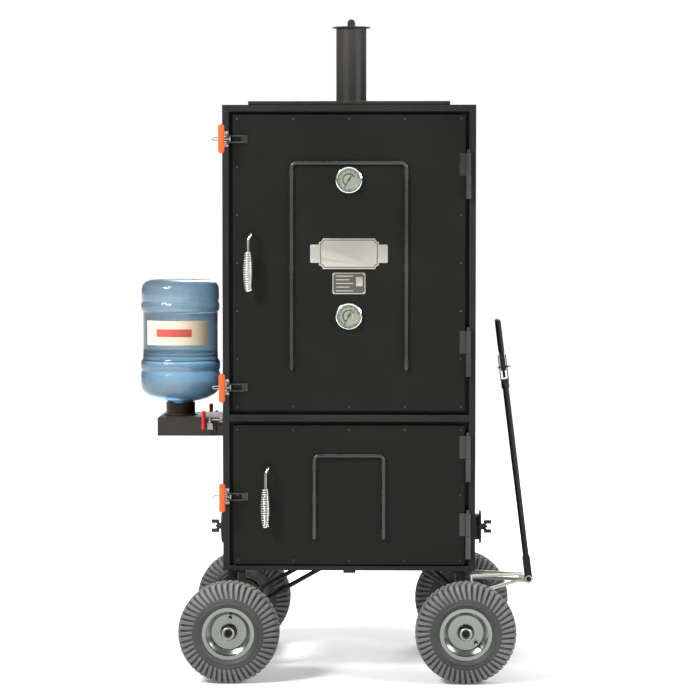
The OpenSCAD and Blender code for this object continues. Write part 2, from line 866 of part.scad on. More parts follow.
// Lever: two cheeks on the pivot pin, a web and the T grip
module latch_lever(z) {
  pivot = [latch_px, latch_py];
  trunnion = [latch_tx, latch_rod_y];
  grip = [latch_grip_x, latch_grip_y];
  on_cart() color(orange) {
    for (s = [-1, 1])
      translate([0, 0, z + s * 8.5 - 2])
        linear_extrude(4)
          difference() {
            union() {
              link2d(pivot, trunnion, 12);
              link2d(trunnion, grip, 9);
            }
            translate(pivot) circle(r = 3 + pin_play);
            translate(trunnion) circle(r = 2.5 + pin_play);
          }
    translate([latch_grip_x, latch_grip_y, z - latch_grip_l / 2])
      cylinder(d = latch_grip_d, h = latch_grip_l);
  }
}
module latch_lever_top() { latch_lever(latch_zs[0]); }
module latch_lever_middle() { latch_lever(latch_zs[1]); }
module latch_lever_bottom() { latch_lever(latch_zs[2]); }

// Pull rod with a looped tail, a trunnion and a cross head
module latch_bolt(z) {
  tail_d = 4;
  tail_r = 4;
  tail_x = -half_w - 27;
  on_cart() color(steel) {
    rod([latch_tx, latch_rod_y, z], [latch_bar_x, latch_rod_y, z], latch_rod_d);
    for (s = [-1, 1])
      rod([tail_x, latch_rod_y, z + s * tail_r], [latch_tx, latch_rod_y, z + s * tail_r], tail_d);
    translate([tail_x, latch_rod_y, z])
      rotate([90, 0, 0])
        rotate([0, 0, 90])
          rotate_extrude(angle = 180)
            translate([tail_r, 0]) circle(d = tail_d);
    rod([latch_bar_x, latch_rod_y, z - 7], [latch_bar_x, latch_rod_y, z + 7], fork_rod);
    translate([latch_tx, latch_rod_y, z - 5.8]) cylinder(d = 10, h = 11.6);
    translate([latch_tx, latch_rod_y, z - 10.5]) cylinder(d = 5, h = 21);
    // Lock nut in front of the trunnion
    translate([latch_tx + 6, latch_rod_y, z]) rotate([0, 90, 0]) cylinder(d = 11, h = 5, $fn = 6);
  }
}
module latch_bolt_top() { latch_bolt(latch_zs[0]); }
module latch_bolt_middle() { latch_bolt(latch_zs[1]); }
module latch_bolt_bottom() { latch_bolt(latch_zs[2]); }

// ---- Water supply ----

clamp_px = tank_x1 - 20;
clamp_y = tank_d / 2 + 12;
clamp_z = tank_z1 - 5;
clamp_bar_x = tank_x1 + 20;

// Bracket on the tank's side with the pivot pin, and the fork it pulls on
module clamp_base(s) {
  mirror([0, s > 0 ? 0 : 1, 0]) {
    yf = tank_d / 2 + fit;
    block([clamp_px - 9, yf, clamp_z - 34], [clamp_px + 9, yf + 3, clamp_z - 11]);
    block([clamp_px - 9, yf, clamp_z - 15], [clamp_px + 9, clamp_y + 7, clamp_z - 11]);
    translate([clamp_px, clamp_y, clamp_z - 12]) cylinder(d = 6, h = 22);
    xf = clamp_bar_x - 4 - play;
    xe = clamp_bar_x + 14;
    for (k = [-1, 1]) {
      zc = clamp_z + k * 6.5;
      zi = clamp_z + k * 4;
      block([xf - 2, clamp_y - 3, zc - 1.5], [xe, clamp_y + 3, zc + 1.5]);
      block([xf - 2, clamp_y - 3, min(zi, zc)], [xf + 1.7, clamp_y + 3, max(zi, zc)]);
    }
    block([clamp_bar_x + 8, tank_d / 2 - 4 + fit, tank_z1 - 22], [xe, clamp_y + 3, clamp_z + 8]);
  }
}

// Lever with its grip and the hook rod that it carries
module tank_clamp(s) {
  y = s * clamp_y;
  gx = clamp_px - 20;
  gy = y + s * 19;
  on_cart() color(red) {
    difference() {
      union() {
        translate([clamp_px, y, clamp_z - 11 + play]) cylinder(d = 14, h = 18);
        translate([0, 0, clamp_z - 3])
          linear_extrude(6) link2d([clamp_px, y], [gx, gy], 8);
        rod([clamp_px + 5, y, clamp_z], [clamp_bar_x, y, clamp_z], 5);
      }
      translate([clamp_px, y, clamp_z - 20]) cylinder(r = 3 + pin_play, h = 40);
    }
    rod([clamp_bar_x, y, clamp_z - 4.5], [clamp_bar_x, y, clamp_z + 4.5], 4);
    translate([gx, gy, clamp_z - clamp_grip_l / 2]) cylinder(d = clamp_grip_d, h = clamp_grip_l);
  }
}
module tank_clamp_front() { tank_clamp(-1); }
module tank_clamp_rear() { tank_clamp(1); }

neck_d = 56;
module water_tank() {
  hw = tank_d / 2;
  on_cart() color(dark) {
    g = fit;
    x0 = tank_x0;
    x1 = tank_x1 - fit;
    block([x0, -hw, tank_z0], [x1, hw, tank_z0 + sheet]);
    difference() {
      block([x0, -hw, tank_z1 - sheet], [x1, hw, tank_z1]);
      translate([bottle_x, 0, tank_z1 - 5]) cylinder(d = collar_d - 14, h = 10);
    }
    za = tank_z0 + sheet + g;
    zb = tank_z1 - sheet - g;
    for (s = [-1, 1])
      block([x0, s > 0 ? hw - sheet : -hw, za], [x1, s > 0 ? hw : -hw + sheet, zb]);
    block([x0, -hw + sheet + g, za], [x0 + sheet, hw - sheet - g, zb]);
    difference() {
      block([x1 - sheet, -hw + sheet + g, za], [x1, hw - sheet - g, zb]);
      feed_hole(x1 - 5, 10);
    }
  }
}

module tank_bracket() {
  hw = tank_d / 2 - 4;
  on_cart() color(dark)
    difference() {
      block([tank_x1, -hw, tank_z0], [-half_w - fit, hw, tank_z1]);
      block([tank_x1 + 3, -hw + 3, tank_z0 - 1], [-half_w - 3, -feed_d, tank_z1 - 3]);
      block([tank_x1 + 3, feed_d, tank_z0 - 1], [-half_w - 3, hw - 3, tank_z1 - 3]);
      feed_hole(tank_x1 - 5, tank_gap + 10);
    }
}

module tank_collar() {
  on_cart() color(dark)
    translate([bottle_x, 0, tank_z1 + fit])
      difference() {
        union() {
          cylinder(d = collar_d, h = collar_h - fit, $fn = fine);
          cylinder(d = collar_d + 16, h = 4, $fn = fine);
        }
        translate([0, 0, -1]) cylinder(d = collar_d - 10, h = collar_h + 2, $fn = fine);
      }
}

// Inverted bottle and its water, as one body of revolution
module water_bottle() {
  r = bottle_d / 2;
  nr = neck_d / 2;
  h = bottle_h;
  zc = collar_z1 + 1;
  shoulder = 38;
  on_cart() color(water)
    translate([bottle_x, 0, zc])
      rotate_extrude($fn = fine)
        polygon(concat(
          [[0, -38], [nr, -38], [nr, -2], [nr + 3, 0]],
          [for (a = [10 : 16 : 90]) [nr + 3 + (r - nr - 3) * sin(a), shoulder * (1 - cos(a))]],
          [[r, shoulder + 20], [r - 4, shoulder + 52], [r - 4, h - 110], [r, h - 90], [r, h - 22],
           [r - 8, h - 5], [r - 22, h], [0, h]]));
}

// ---- Vents ----

neck_l = 22;
vent_ports = 4;
module vent_ring(x, d, t, port_turn, bore) {
  difference() {
    disc_x([x, 0, z0 + vent_z], d, t, fine);
    for (i = [0 : vent_ports - 1]) {
      a = 360 / vent_ports * i + port_turn;
      r = vent_pipe_d * 0.27;
      disc_x([x - 1, r * cos(a), z0 + vent_z + r * sin(a)], vent_pipe_d * 0.26, t + 2);
    }
    disc_x([x - 1, 0, z0 + vent_z], bore, t + 2);
  }
}
stud_d = 8;
module vent_necks() {
  on_cart() color(dark)
    for (s = [-1, 1]) {
      x = half_w - 1 + fit;
      mirror([s > 0 ? 0 : 1, 0, 0]) {
        difference() {
          disc_x([x, 0, z0 + vent_z], vent_pipe_d, neck_l, fine);
          disc_x([x - 1, 0, z0 + vent_z], vent_pipe_d - 8, neck_l + 2, fine);
        }
        vent_ring(x + neck_l - 0.5, vent_d, 3.5, 45, stud_d - 1);
        disc_x([x + neck_l - 2, 0, z0 + vent_z], stud_d, 30);
      }
    }
}
// Turning plate with its own ports, a hub and two finger wings
module damper(s) {
  x = half_w - 1 + fit + neck_l + 3 + play;
  on_cart() color(dark)
    mirror([s > 0 ? 0 : 1, 0, 0]) {
      vent_ring(x, vent_d - 4, 3, 45, stud_d + 2 * pin_play);
      difference() {
        disc_x([x + 2.5, 0, z0 + vent_z], 22, 18);
        disc_x([x - 1, 0, z0 + vent_z], stud_d + 2 * pin_play, 30);
      }
      for (k = [-1, 1])
        block([x + 12, -3, z0 + vent_z + (k > 0 ? 9 : -22)],
              [x + 38, 3, z0 + vent_z + (k > 0 ? 22 : -9)]);
    }
}
module damper_left() { damper(-1); }
module damper_right() { damper(1); }

// ---- Cart ----

// Channel sleepers and jack pad under the cabinet floor
pad_w = 160;
pad_t = 8;
kingpin_d = 25;
head_z = axle_z + 62;
module underframe() {
  on_cart() color(dark) {
    for (x = [fixed_x + 30, 0, steer_x - 30])
      block([x - 20, -half_d + post_d, z0 - 12 - fit], [x + 20, half_d - post_d, z0 - fit]);
    block([-pad_w / 2, -pad_w / 2, z0 - 12 - pad_t - fit], [pad_w / 2, pad_w / 2, z0 - 12 - 2 * fit]);
    // Steering head: kingpin with its tube and plate
    translate([steer_x, 0, head_z + 6]) cylinder(d = 60, h = z0 - head_z - 6 - 12 - 2 * fit);
    translate([steer_x, 0, axle_z - beam_w / 2 - 10]) cylinder(d = kingpin_d, h = head_z - axle_z + 40);
    translate([steer_x, 0, axle_z - beam_w / 2 - 12]) cylinder(d = 40, h = 9, $fn = 6);
    for (s = [-1, 1])
      rod([steer_x - 20, s * 12, head_z + 14], [steer_x - 150, s * 130, z0 - 14], 14);
  }
}

module spindle(y_sign, x) {
  l = track / 2 + hub_l / 2 - 14 - beam_half;
  y = y_sign > 0 ? beam_half - 1 : -beam_half + 1 - l;
  disc_y([x, y, axle_z], spindle_d, l);
}

// Axle beam with both spindles
module axle_beam(x) {
  block([x - beam_w / 2, -beam_half, axle_z - beam_w / 2], [x + beam_w / 2, beam_half, axle_z + beam_w / 2]);
  for (s = [-1, 1]) {
    spindle(s, x);
    disc_y([x, s > 0 ? beam_half - 0.5 : -beam_half - 2.5, axle_z], 36, 3);
  }
}

stand_y = 200;
module fixed_axle() {
  on_cart() color(dark) {
    axle_beam(fixed_x);
    for (s = [-1, 1]) {
      block([fixed_x - 17, s * stand_y - 17, axle_z + beam_w / 2 - 1],
            [fixed_x + 17, s * stand_y + 17, z0 - 12 - 2 * fit]);
      rod([fixed_x + 8, s * stand_y, axle_z + 22], [-95, s * stand_y, z0 - 8.5], 15);
    }
  }
}

module steer_axle() {
  on_cart() color(dark)
    difference() {
      union() {
        axle_beam(steer_x);
        translate([steer_x, 0, axle_z + beam_w / 2 - 1])
          cylinder(d = 60, h = head_z - axle_z - beam_w / 2 + 1);
        for (s = [-1, 1])
          block([steer_x - 8, s * tongue_y - 14, axle_z + beam_w / 2 - 1],
                [steer_x + 19, s * tongue_y + 14, tongue_leg_z + 9]);
      }
      translate([steer_x, 0, axle_z - beam_w])
        cylinder(r = kingpin_d / 2 + pin_play, h = head_z);
      translate([steer_x, 0, axle_z - beam_w / 2 - 13]) cylinder(d = 44, h = 11);
    }
}

tongue_y = 215;
tongue_leg_z = 262;
tongue_top_z = tow_z + 16;
tongue_rod = 12;
tow_pin_d = 12;
module tongue() {
  xe = tow_x - 26;
  on_cart() color(steel) {
    for (s = [-1, 1]) {
      rod([steer_x + 20, s * tongue_y, tongue_leg_z], [xe, s * 6, tow_z - 3], tongue_rod);
      rod([steer_x + 20, s * 60, tongue_top_z], [xe, s * 3, tongue_top_z], 11);
      rod([steer_x + 24, s * 60, tongue_top_z - 2], [steer_x + 24, s * tongue_y, tongue_leg_z + 2], 11);
    }
    difference() {
      union() {
        block([xe - 8, -8, tow_z - 12], [tow_x, 8, tow_z + 12]);
        block([xe - 8, -8, tow_z], [xe + 6, 8, tongue_top_z + 7]);
        disc_y([tow_x, -8, tow_z], 24, 16);
      }
      disc_y([tow_x, -10, tow_z], tow_pin_d + 2 * pin_play, 20);
    }
  }
}

// Everything on the tow handle is drawn upright at the pivot, then leaned
module at_tow() {
  translate([tow_x, 0, tow_z]) rotate([0, -tow_lean, 0]) children();
}
ear_t = 5;
ear_gap = 8 + play;
socket_h = 78;
module tow_tube() {
  on_cart() color(dark)
    at_tow() {
      for (s = [-1, 1]) {
        y = s > 0 ? ear_gap : -ear_gap - ear_t;
        block([-13, y, -4], [13, y + ear_t, socket_h]);
        disc_y([0, y, 0], 2 * eye_r, ear_t);
      }
      disc_y([0, -ear_gap - ear_t - 6, 0], tow_pin_d, 2 * (ear_gap + ear_t + 6));
      disc_y([0, -ear_gap - ear_t - 8, 0], 18, 8.5, 6);
      disc_y([0, ear_gap + ear_t - 0.5, 0], 18, 8.5, 6);
      block([-13, -ear_gap - 1, 24], [13, ear_gap + 1, socket_h]);
      translate([0, 0, socket_h - 1]) cylinder(d = tow_d, h = tow_l);
      // Collar and the two cheeks that hold the grip
      translate([0, 0, socket_h + tow_l - 22]) cylinder(d = 27, h = 28);
      for (s = [-1, 1])
        difference() {
          block([s > 0 ? cheek_in : -cheek_in - cheek_t, -14, socket_h + tow_l + 5],
                [s > 0 ? cheek_in + cheek_t : -cheek_in, 14, cheek_z]);
          disc_x([-40, 0, grip_pin_z], hitch_d + 2 * pin_play, 80);
        }
      block([-cheek_in - cheek_t, -14, socket_h + tow_l + 3],
            [cheek_in + cheek_t, 14, socket_h + tow_l + 9]);
    }
}

cheek_in = 11;
cheek_t = 3;
cheek_z = socket_h + tow_l + 92;
grip_pin_z = cheek_z - 42;
hitch_d = 7;
stem_d = 9;
stem_l = 36;
// Loop handle on a stem between the cheeks
module tow_grip() {
  gr = 9;
  zb = cheek_z + 14;
  zt = zb + grip_h - 2 * gr;
  w = grip_w / 2 - gr;
  on_cart() color(dark)
    at_tow() {
      difference() {
        block([-gr, -10, grip_pin_z - 12], [gr, 10, zb]);
        disc_x([-20, 0, grip_pin_z], hitch_d + 2 * pin_play, 40);
      }
      rod([0, 0, grip_pin_z - stem_l], [0, 0, grip_pin_z - 11], stem_d);
      rod([0, -w, zb], [0, w, zb], 2 * gr);
      rod([0, -w, zb], [0, -w, zt], 2 * gr);
      rod([0, w, zb], [0, w, zt], 2 * gr);
      rod([0, -w, zt], [0, w, zt], 2 * gr);
      for (sy = [-1, 1], z = [zb, zt])
        translate([0, sy * w, z]) sphere(r = gr, $fn = 32);
    }
}

module hitch_pin() {
  on_cart() color(zinc)
    at_tow() {
      disc_x([-cheek_in - 9, 0, grip_pin_z], hitch_d, 2 * cheek_in + 24);
      disc_x([cheek_in + cheek_t + play, 0, grip_pin_z], hitch_d + 5, 3);
    }
}

// Hollow turf tyre: tread, shoulders and sidewalls down to the beads
module tyre(x, y) {
  ro = tyre_d / 2;
  w = tyre_w / 2;
  rb = rim_d / 2 + fit;
  t = 10;
  bead = w - 13;
  on_cart() color(rubber)
    translate([x, y, axle_z])
      rotate([90, 0, 0])
        rotate_extrude($fn = 144)
          polygon([
            [rb, -bead], [rb + 12, -bead], [rb + 26, -w + 1], [ro - 38, -w], [ro - 16, -w + 5],
            [ro - 4, -w + 16], [ro, -w + 34], [ro, w - 34], [ro - 4, w - 16], [ro - 16, w - 5],
            [ro - 38, w], [rb + 26, w - 1], [rb + 12, bead], [rb, bead],
            [rb, bead - t], [rb + 16, bead - t], [rb + 28, w - t], [ro - 38, w - t],
            [ro - t - 3, w - 24], [ro - t - 3, -w + 24], [ro - 38, -w + t], [rb + 28, -w + t],
            [rb + 16, -bead + t], [rb, -bead + t]]);
}

// Pressed rim: a barrel with two bead flanges, and a dished centre welded to the hub tube
rim_wall = 3;
flange_z = tyre_w / 2 - 13 + fit + 2;
module rim_barrel() {
  rb = rim_d / 2;
  inner = rb - rim_wall;
  lip = rb + 9;
  lip_t = 2;
  rotate_extrude($fn = fine)
    polygon([
      [inner, -flange_z], [lip, -flange_z], [lip, -flange_z + lip_t], [rb, -flange_z + lip_t],
      [rb, flange_z - lip_t], [lip, flange_z - lip_t], [lip, flange_z], [inner, flange_z]]);
}
module rim_centre() {
  edge = rim_d / 2 - rim_wall;
  hub_r = 20;
  bore = spindle_r + pin_play;
  difference() {
    rotate_extrude($fn = fine)
      polygon([
        [bore, -hub_l / 2], [hub_r, -hub_l / 2], [hub_r, 2], [30, 6], [58, 6], [62, 14],
        [edge, 22], [edge, 26], [59, 17], [57, 9], [28, 9], [hub_r, 6],
        [hub_r, hub_l / 2], [bore, hub_l / 2]]);
    translate([0, 0, hub_l / 2 - 12]) cylinder(r = 15, h = 20);
  }
}
module rim(x, y) {
  on_cart() color(zinc)
    translate([x, y, axle_z])
      rotate([90, 0, 0])
        mirror([0, 0, y < 0 ? 0 : 1]) {
          rim_barrel();
          rim_centre();
        }
}

module tyre_front_left() { tyre(fixed_x, -track / 2); }
module tyre_front_right() { tyre(steer_x, -track / 2); }
module tyre_rear_left() { tyre(fixed_x, track / 2); }
module tyre_rear_right() { tyre(steer_x, track / 2); }
module rim_front_left() { rim(fixed_x, -track / 2); }
module rim_front_right() { rim(steer_x, -track / 2); }
module rim_rear_left() { rim(fixed_x, track / 2); }
module rim_rear_right() { rim(steer_x, track / 2); }

frame_rails();
outer_panels();
liner();
insulation();
underframe();
chimney_pipe();
chimney_cap();
rack_rails();
cooking_racks();
water_pan();
feed_pipe();
charcoal_basket();
ash_pan();
frame_knuckles();
latch_bases();
vent_necks();
damper_left();
damper_right();
upper_door_pan();
upper_door_liner();
upper_gasket();
upper_stiffener();
upper_handle();
upper_door_fittings();
thermometer_cases();
needle_upper();
needle_lower();
door_plates();
lower_door_pan();
lower_door_liner();
lower_gasket();
lower_stiffener();
lower_handle();
lower_door_fittings();
latch_lever_top();
latch_lever_middle();
latch_lever_bottom();
latch_bolt_top();
latch_bolt_middle();
latch_bolt_bottom();
water_tank();
tank_bracket();
tank_collar();
water_bottle();
tank_clamp_front();
tank_clamp_rear();
fixed_axle();
steer_axle();
tongue();
tow_tube();
tow_grip();
hitch_pin();
tyre_front_left();
tyre_front_right();
tyre_rear_left();
tyre_rear_right();
rim_front_left();
rim_front_right();
rim_rear_left();
rim_rear_right();
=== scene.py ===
import json
import math

import bpy
from mathutils import Vector
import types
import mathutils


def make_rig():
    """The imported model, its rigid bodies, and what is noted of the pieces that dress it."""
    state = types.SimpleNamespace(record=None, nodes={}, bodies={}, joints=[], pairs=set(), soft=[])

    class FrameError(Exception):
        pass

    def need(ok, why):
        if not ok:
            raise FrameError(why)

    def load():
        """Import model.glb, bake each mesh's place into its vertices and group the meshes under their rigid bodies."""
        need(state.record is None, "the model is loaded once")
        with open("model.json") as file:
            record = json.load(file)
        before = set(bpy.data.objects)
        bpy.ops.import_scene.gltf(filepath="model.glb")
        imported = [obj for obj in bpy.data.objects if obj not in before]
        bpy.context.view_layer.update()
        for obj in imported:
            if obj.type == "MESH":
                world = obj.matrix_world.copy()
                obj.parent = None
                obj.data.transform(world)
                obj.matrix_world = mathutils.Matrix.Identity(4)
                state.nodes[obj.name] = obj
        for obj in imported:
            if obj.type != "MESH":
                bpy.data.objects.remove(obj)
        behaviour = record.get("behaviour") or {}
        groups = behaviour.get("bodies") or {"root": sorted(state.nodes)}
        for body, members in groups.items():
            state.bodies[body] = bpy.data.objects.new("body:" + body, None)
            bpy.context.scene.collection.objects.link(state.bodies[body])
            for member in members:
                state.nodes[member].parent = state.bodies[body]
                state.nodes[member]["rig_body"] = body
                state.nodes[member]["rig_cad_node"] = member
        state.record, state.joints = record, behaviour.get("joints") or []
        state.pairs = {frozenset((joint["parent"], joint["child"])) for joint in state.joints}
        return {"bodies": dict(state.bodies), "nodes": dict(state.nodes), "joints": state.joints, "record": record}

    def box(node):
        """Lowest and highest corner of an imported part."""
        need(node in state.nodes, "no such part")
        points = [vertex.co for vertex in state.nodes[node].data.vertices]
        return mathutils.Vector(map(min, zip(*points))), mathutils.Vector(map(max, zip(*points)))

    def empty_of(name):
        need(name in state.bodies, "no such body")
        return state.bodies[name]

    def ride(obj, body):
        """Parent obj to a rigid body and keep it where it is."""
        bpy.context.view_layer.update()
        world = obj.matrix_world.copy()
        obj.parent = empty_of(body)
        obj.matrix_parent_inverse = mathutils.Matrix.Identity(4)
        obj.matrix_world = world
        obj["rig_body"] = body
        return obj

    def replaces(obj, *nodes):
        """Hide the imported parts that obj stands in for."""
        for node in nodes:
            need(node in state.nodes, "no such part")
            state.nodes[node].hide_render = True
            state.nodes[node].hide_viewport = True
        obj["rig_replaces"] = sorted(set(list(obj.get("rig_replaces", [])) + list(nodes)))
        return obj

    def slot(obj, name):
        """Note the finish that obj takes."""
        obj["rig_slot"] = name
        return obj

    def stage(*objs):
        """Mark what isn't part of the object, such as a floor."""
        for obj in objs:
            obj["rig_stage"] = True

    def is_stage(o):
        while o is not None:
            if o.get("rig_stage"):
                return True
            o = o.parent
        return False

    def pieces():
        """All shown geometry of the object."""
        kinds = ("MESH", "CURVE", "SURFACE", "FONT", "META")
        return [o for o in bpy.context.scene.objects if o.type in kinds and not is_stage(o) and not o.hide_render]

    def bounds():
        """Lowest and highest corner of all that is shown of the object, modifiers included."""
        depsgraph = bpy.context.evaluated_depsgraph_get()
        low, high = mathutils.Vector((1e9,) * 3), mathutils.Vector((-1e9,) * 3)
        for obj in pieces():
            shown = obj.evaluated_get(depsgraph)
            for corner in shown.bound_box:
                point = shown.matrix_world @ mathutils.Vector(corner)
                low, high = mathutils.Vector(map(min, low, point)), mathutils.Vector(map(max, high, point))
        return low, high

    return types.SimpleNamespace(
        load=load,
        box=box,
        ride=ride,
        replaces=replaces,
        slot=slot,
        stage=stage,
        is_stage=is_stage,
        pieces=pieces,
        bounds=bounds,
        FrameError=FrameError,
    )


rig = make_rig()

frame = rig.load()
cad_lo, cad_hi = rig.bounds()
MM = 0.001


# ---- Camera, floor and lights ----
# A long lens in front of the doors, a little above mid height, turned slightly left and down.
# The room is a pale floor under a pale sky, with large soft panels and one harder one.

bpy.ops.object.select_all(action="DESELECT")
bpy.ops.object.camera_add(location=(0.25741, -9.03285, 1.54766))
camera = bpy.context.object
camera.name = "front_camera"
pan, tilt = math.radians(1.35042), math.radians(3.04582)
camera.rotation_euler = (math.pi / 2 - tilt, 0, pan)
camera.data.lens = 136.75
camera.data.sensor_width = 36
camera.data.clip_end = 60
bpy.context.scene.camera = camera

bpy.ops.mesh.primitive_plane_add(size=60, location=(0, 0, 0))
floor = bpy.context.object
floor.name = "floor"
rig.stage(floor)


def nodes_of(material):
    """The node tree of a material, with its shader."""
    material.use_nodes = True
    tree = material.node_tree
    return tree, tree.nodes["Principled BSDF"]


floor_paint = bpy.data.materials.new("pale_floor")
tree, shader = nodes_of(floor_paint)
shader.inputs["Base Color"].default_value = (0.93, 0.93, 0.93, 1)
shader.inputs["Roughness"].default_value = 0.9
away = tree.nodes.new("ShaderNodeVectorMath")
away.operation = "LENGTH"
tree.links.new(tree.nodes.new("ShaderNodeTexCoord").outputs["Object"], away.inputs[0])
bright = tree.nodes.new("ShaderNodeMapRange")
for label, number in (("From Min", 0.9), ("From Max", 3.2), ("To Min", 0.12), ("To Max", 0.8)):
    bright.inputs[label].default_value = number
tree.links.new(away.outputs["Value"], bright.inputs["Value"])
tree.links.new(bright.outputs["Result"], shader.inputs["Emission Strength"])
shader.inputs["Emission Color"].default_value = (1, 1, 1, 1)
floor.data.materials.append(floor_paint)

world = bpy.data.worlds.new("studio")
bpy.context.scene.world = world
world.use_nodes = True
sky = world.node_tree
soft_sky = sky.nodes["Background"]
soft_sky.inputs["Color"].default_value = (1, 1, 1, 1)
soft_sky.inputs["Strength"].default_value = 0.3
white_backdrop = sky.nodes.new("ShaderNodeBackground")
white_backdrop.inputs["Color"].default_value = (1, 1, 1, 1)
seen_or_lit = sky.nodes.new("ShaderNodeMixShader")
sky.links.new(sky.nodes.new("ShaderNodeLightPath").outputs["Is Camera Ray"], seen_or_lit.inputs["Fac"])
sky.links.new(soft_sky.outputs["Background"], seen_or_lit.inputs[1])
sky.links.new(white_backdrop.outputs["Background"], seen_or_lit.inputs[2])
sky.links.new(seen_or_lit.outputs["Shader"], sky.nodes["World Output"].inputs["Surface"])
bpy.context.scene.view_settings.view_transform = "Standard"


def panel(name, place, aim, size, power):
    """A square soft light at place, facing aim."""
    bpy.ops.object.light_add(type="AREA", location=place)
    light = bpy.context.object
    light.name = name
    light.data.size = size
    light.data.energy = power
    light.rotation_euler = (Vector(aim) - Vector(place)).to_track_quat("-Z", "Y").to_euler()


panel("key_panel", (-3.8, -4.2, 5.0), (0, 0, 1), 1.6, 520)
panel("fill_panel", (4.8, -3.0, 3.4), (0, 0, 0.9), 2.0, 200)
panel("back_panel", (0.5, 5.0, 4.0), (0, 0, 1), 3.0, 300)


# ---- Black sprayed paint ----
# Everything welded is sprayed satin black. The coat has orange peel, a broad unevenness
# in its sheen, and a little pale dust where it faces up.


def new_group(name, inputs, outputs):
    """A shader node group with named sockets; inputs maps a name to (kind, value)."""
    group = bpy.data.node_groups.new(name, "ShaderNodeTree")
    for label, (kind, value) in inputs.items():
        socket = group.interface.new_socket(label, in_out="INPUT", socket_type="NodeSocket" + kind)
        if value is not None:
            socket.default_value = value
    for label, kind in outputs.items():
        group.interface.new_socket(label, in_out="OUTPUT", socket_type="NodeSocket" + kind)
    return group, group.nodes.new("NodeGroupInput"), group.nodes.new("NodeGroupOutput")


def noise(tree, place, scale, detail=3.0, rough=0.5):
    """A noise texture at so many waves a metre, driven by the place socket."""
    node = tree.nodes.new("ShaderNodeTexNoise")
    node.inputs["Scale"].default_value = scale
    node.inputs["Detail"].default_value = detail
    node.inputs["Roughness"].default_value = rough
    tree.links.new(place, node.inputs["Vector"])
    return node.outputs["Fac"]


def ramp(tree, value, low, high, out_low=0.0, out_high=1.0):
    """value from low..high mapped to out_low..out_high and clamped."""
    node = tree.nodes.new("ShaderNodeMapRange")
    for label, number in (("From Min", low), ("From Max", high), ("To Min", out_low), ("To Max", out_high)):
        node.inputs[label].default_value = number
    tree.links.new(value, node.inputs["Value"])
    return node.outputs["Result"]


def math_node(tree, action, a, b):
    """One arithmetic step on sockets or numbers."""
    node = tree.nodes.new("ShaderNodeMath")
    node.operation = action
    for slot, value in zip(node.inputs, (a, b)):
        if isinstance(value, (int, float)):
            slot.default_value = value
        else:
            tree.links.new(value, slot)
    return node.outputs[0]


def mix(tree, amount, a, b):
    """Colour a turning into colour b."""
    node = tree.nodes.new("ShaderNodeMix")
    node.data_type = "RGBA"
    tree.links.new(amount, node.inputs["Factor"])
    for label, value in (("A", a), ("B", b)):
        slot = next(s for s in node.inputs if s.name == label and s.type == "RGBA")
        if isinstance(value, tuple):
            slot.default_value = (*value, 1)
        else:
            tree.links.new(value, slot)
    return next(s for s in node.outputs if s.type == "RGBA")


def make_weathering():
    """Dust on upward faces and uneven handling marks, shared by every finish."""
    group, ins, outs = new_group(
        "weathering",
        {"Place": ("Vector", None), "Colour": ("Color", None), "Dust colour": ("Color", None),
         "Dust": ("Float", 0.3), "Mottle": ("Float", 0.3), "Gloss": ("Float", 0.4),
         "Spread": ("Float", 0.15)},
        {"Colour": "Color", "Roughness": "Float", "Marks": "Float"})
    geometry = group.nodes.new("ShaderNodeNewGeometry")
    axes = group.nodes.new("ShaderNodeSeparateXYZ")
    group.links.new(geometry.outputs["Normal"], axes.inputs[0])
    broad = noise(group, ins.outputs["Place"], 4.0, 4.0)
    fine = noise(group, ins.outputs["Place"], 60.0, 5.0, 0.65)
    upward = ramp(group, axes.outputs["Z"], 0.35, 1.0)
    patchy = ramp(group, fine, 0.35, 0.7)
    dust = math_node(group, "MULTIPLY", math_node(group, "MULTIPLY", upward, patchy), ins.outputs["Dust"])
    marks = ramp(group, broad, 0.35, 0.68)
    mottle = math_node(group, "MULTIPLY", marks, ins.outputs["Mottle"])
    lighter = mix(group, mottle, ins.outputs["Colour"], ins.outputs["Dust colour"])
    group.links.new(mix(group, dust, lighter, ins.outputs["Dust colour"]), outs.inputs["Colour"])
    swing = math_node(group, "MULTIPLY", math_node(group, "SUBTRACT", marks, 0.5), ins.outputs["Spread"])
    gloss = math_node(group, "ADD", math_node(group, "ADD", ins.outputs["Gloss"], swing), dust)
    group.links.new(gloss, outs.inputs["Roughness"])
    group.links.new(marks, outs.inputs["Marks"])
    return group


def make_skin_bump():
    """Height of a sprayed, cast or rubbed skin: a coarse wave with a fine one on it."""
    group, ins, outs = new_group(
        "skin_bump",
        {"Place": ("Vector", None), "Coarse": ("Float", 400.0), "Fine": ("Float", 2200.0)},
        {"Height": "Float"})
    heights = []
    for label in ("Coarse", "Fine"):
        node = group.nodes.new("ShaderNodeTexNoise")
        group.links.new(ins.outputs["Place"], node.inputs["Vector"])
        group.links.new(ins.outputs[label], node.inputs["Scale"])
        heights.append(node.outputs["Fac"])
    fine_part = math_node(group, "MULTIPLY", heights[1], 0.35)
    group.links.new(math_node(group, "ADD", heights[0], fine_part), outs.inputs["Height"])
    return group


weathering = make_weathering()
skin_bump = make_skin_bump()


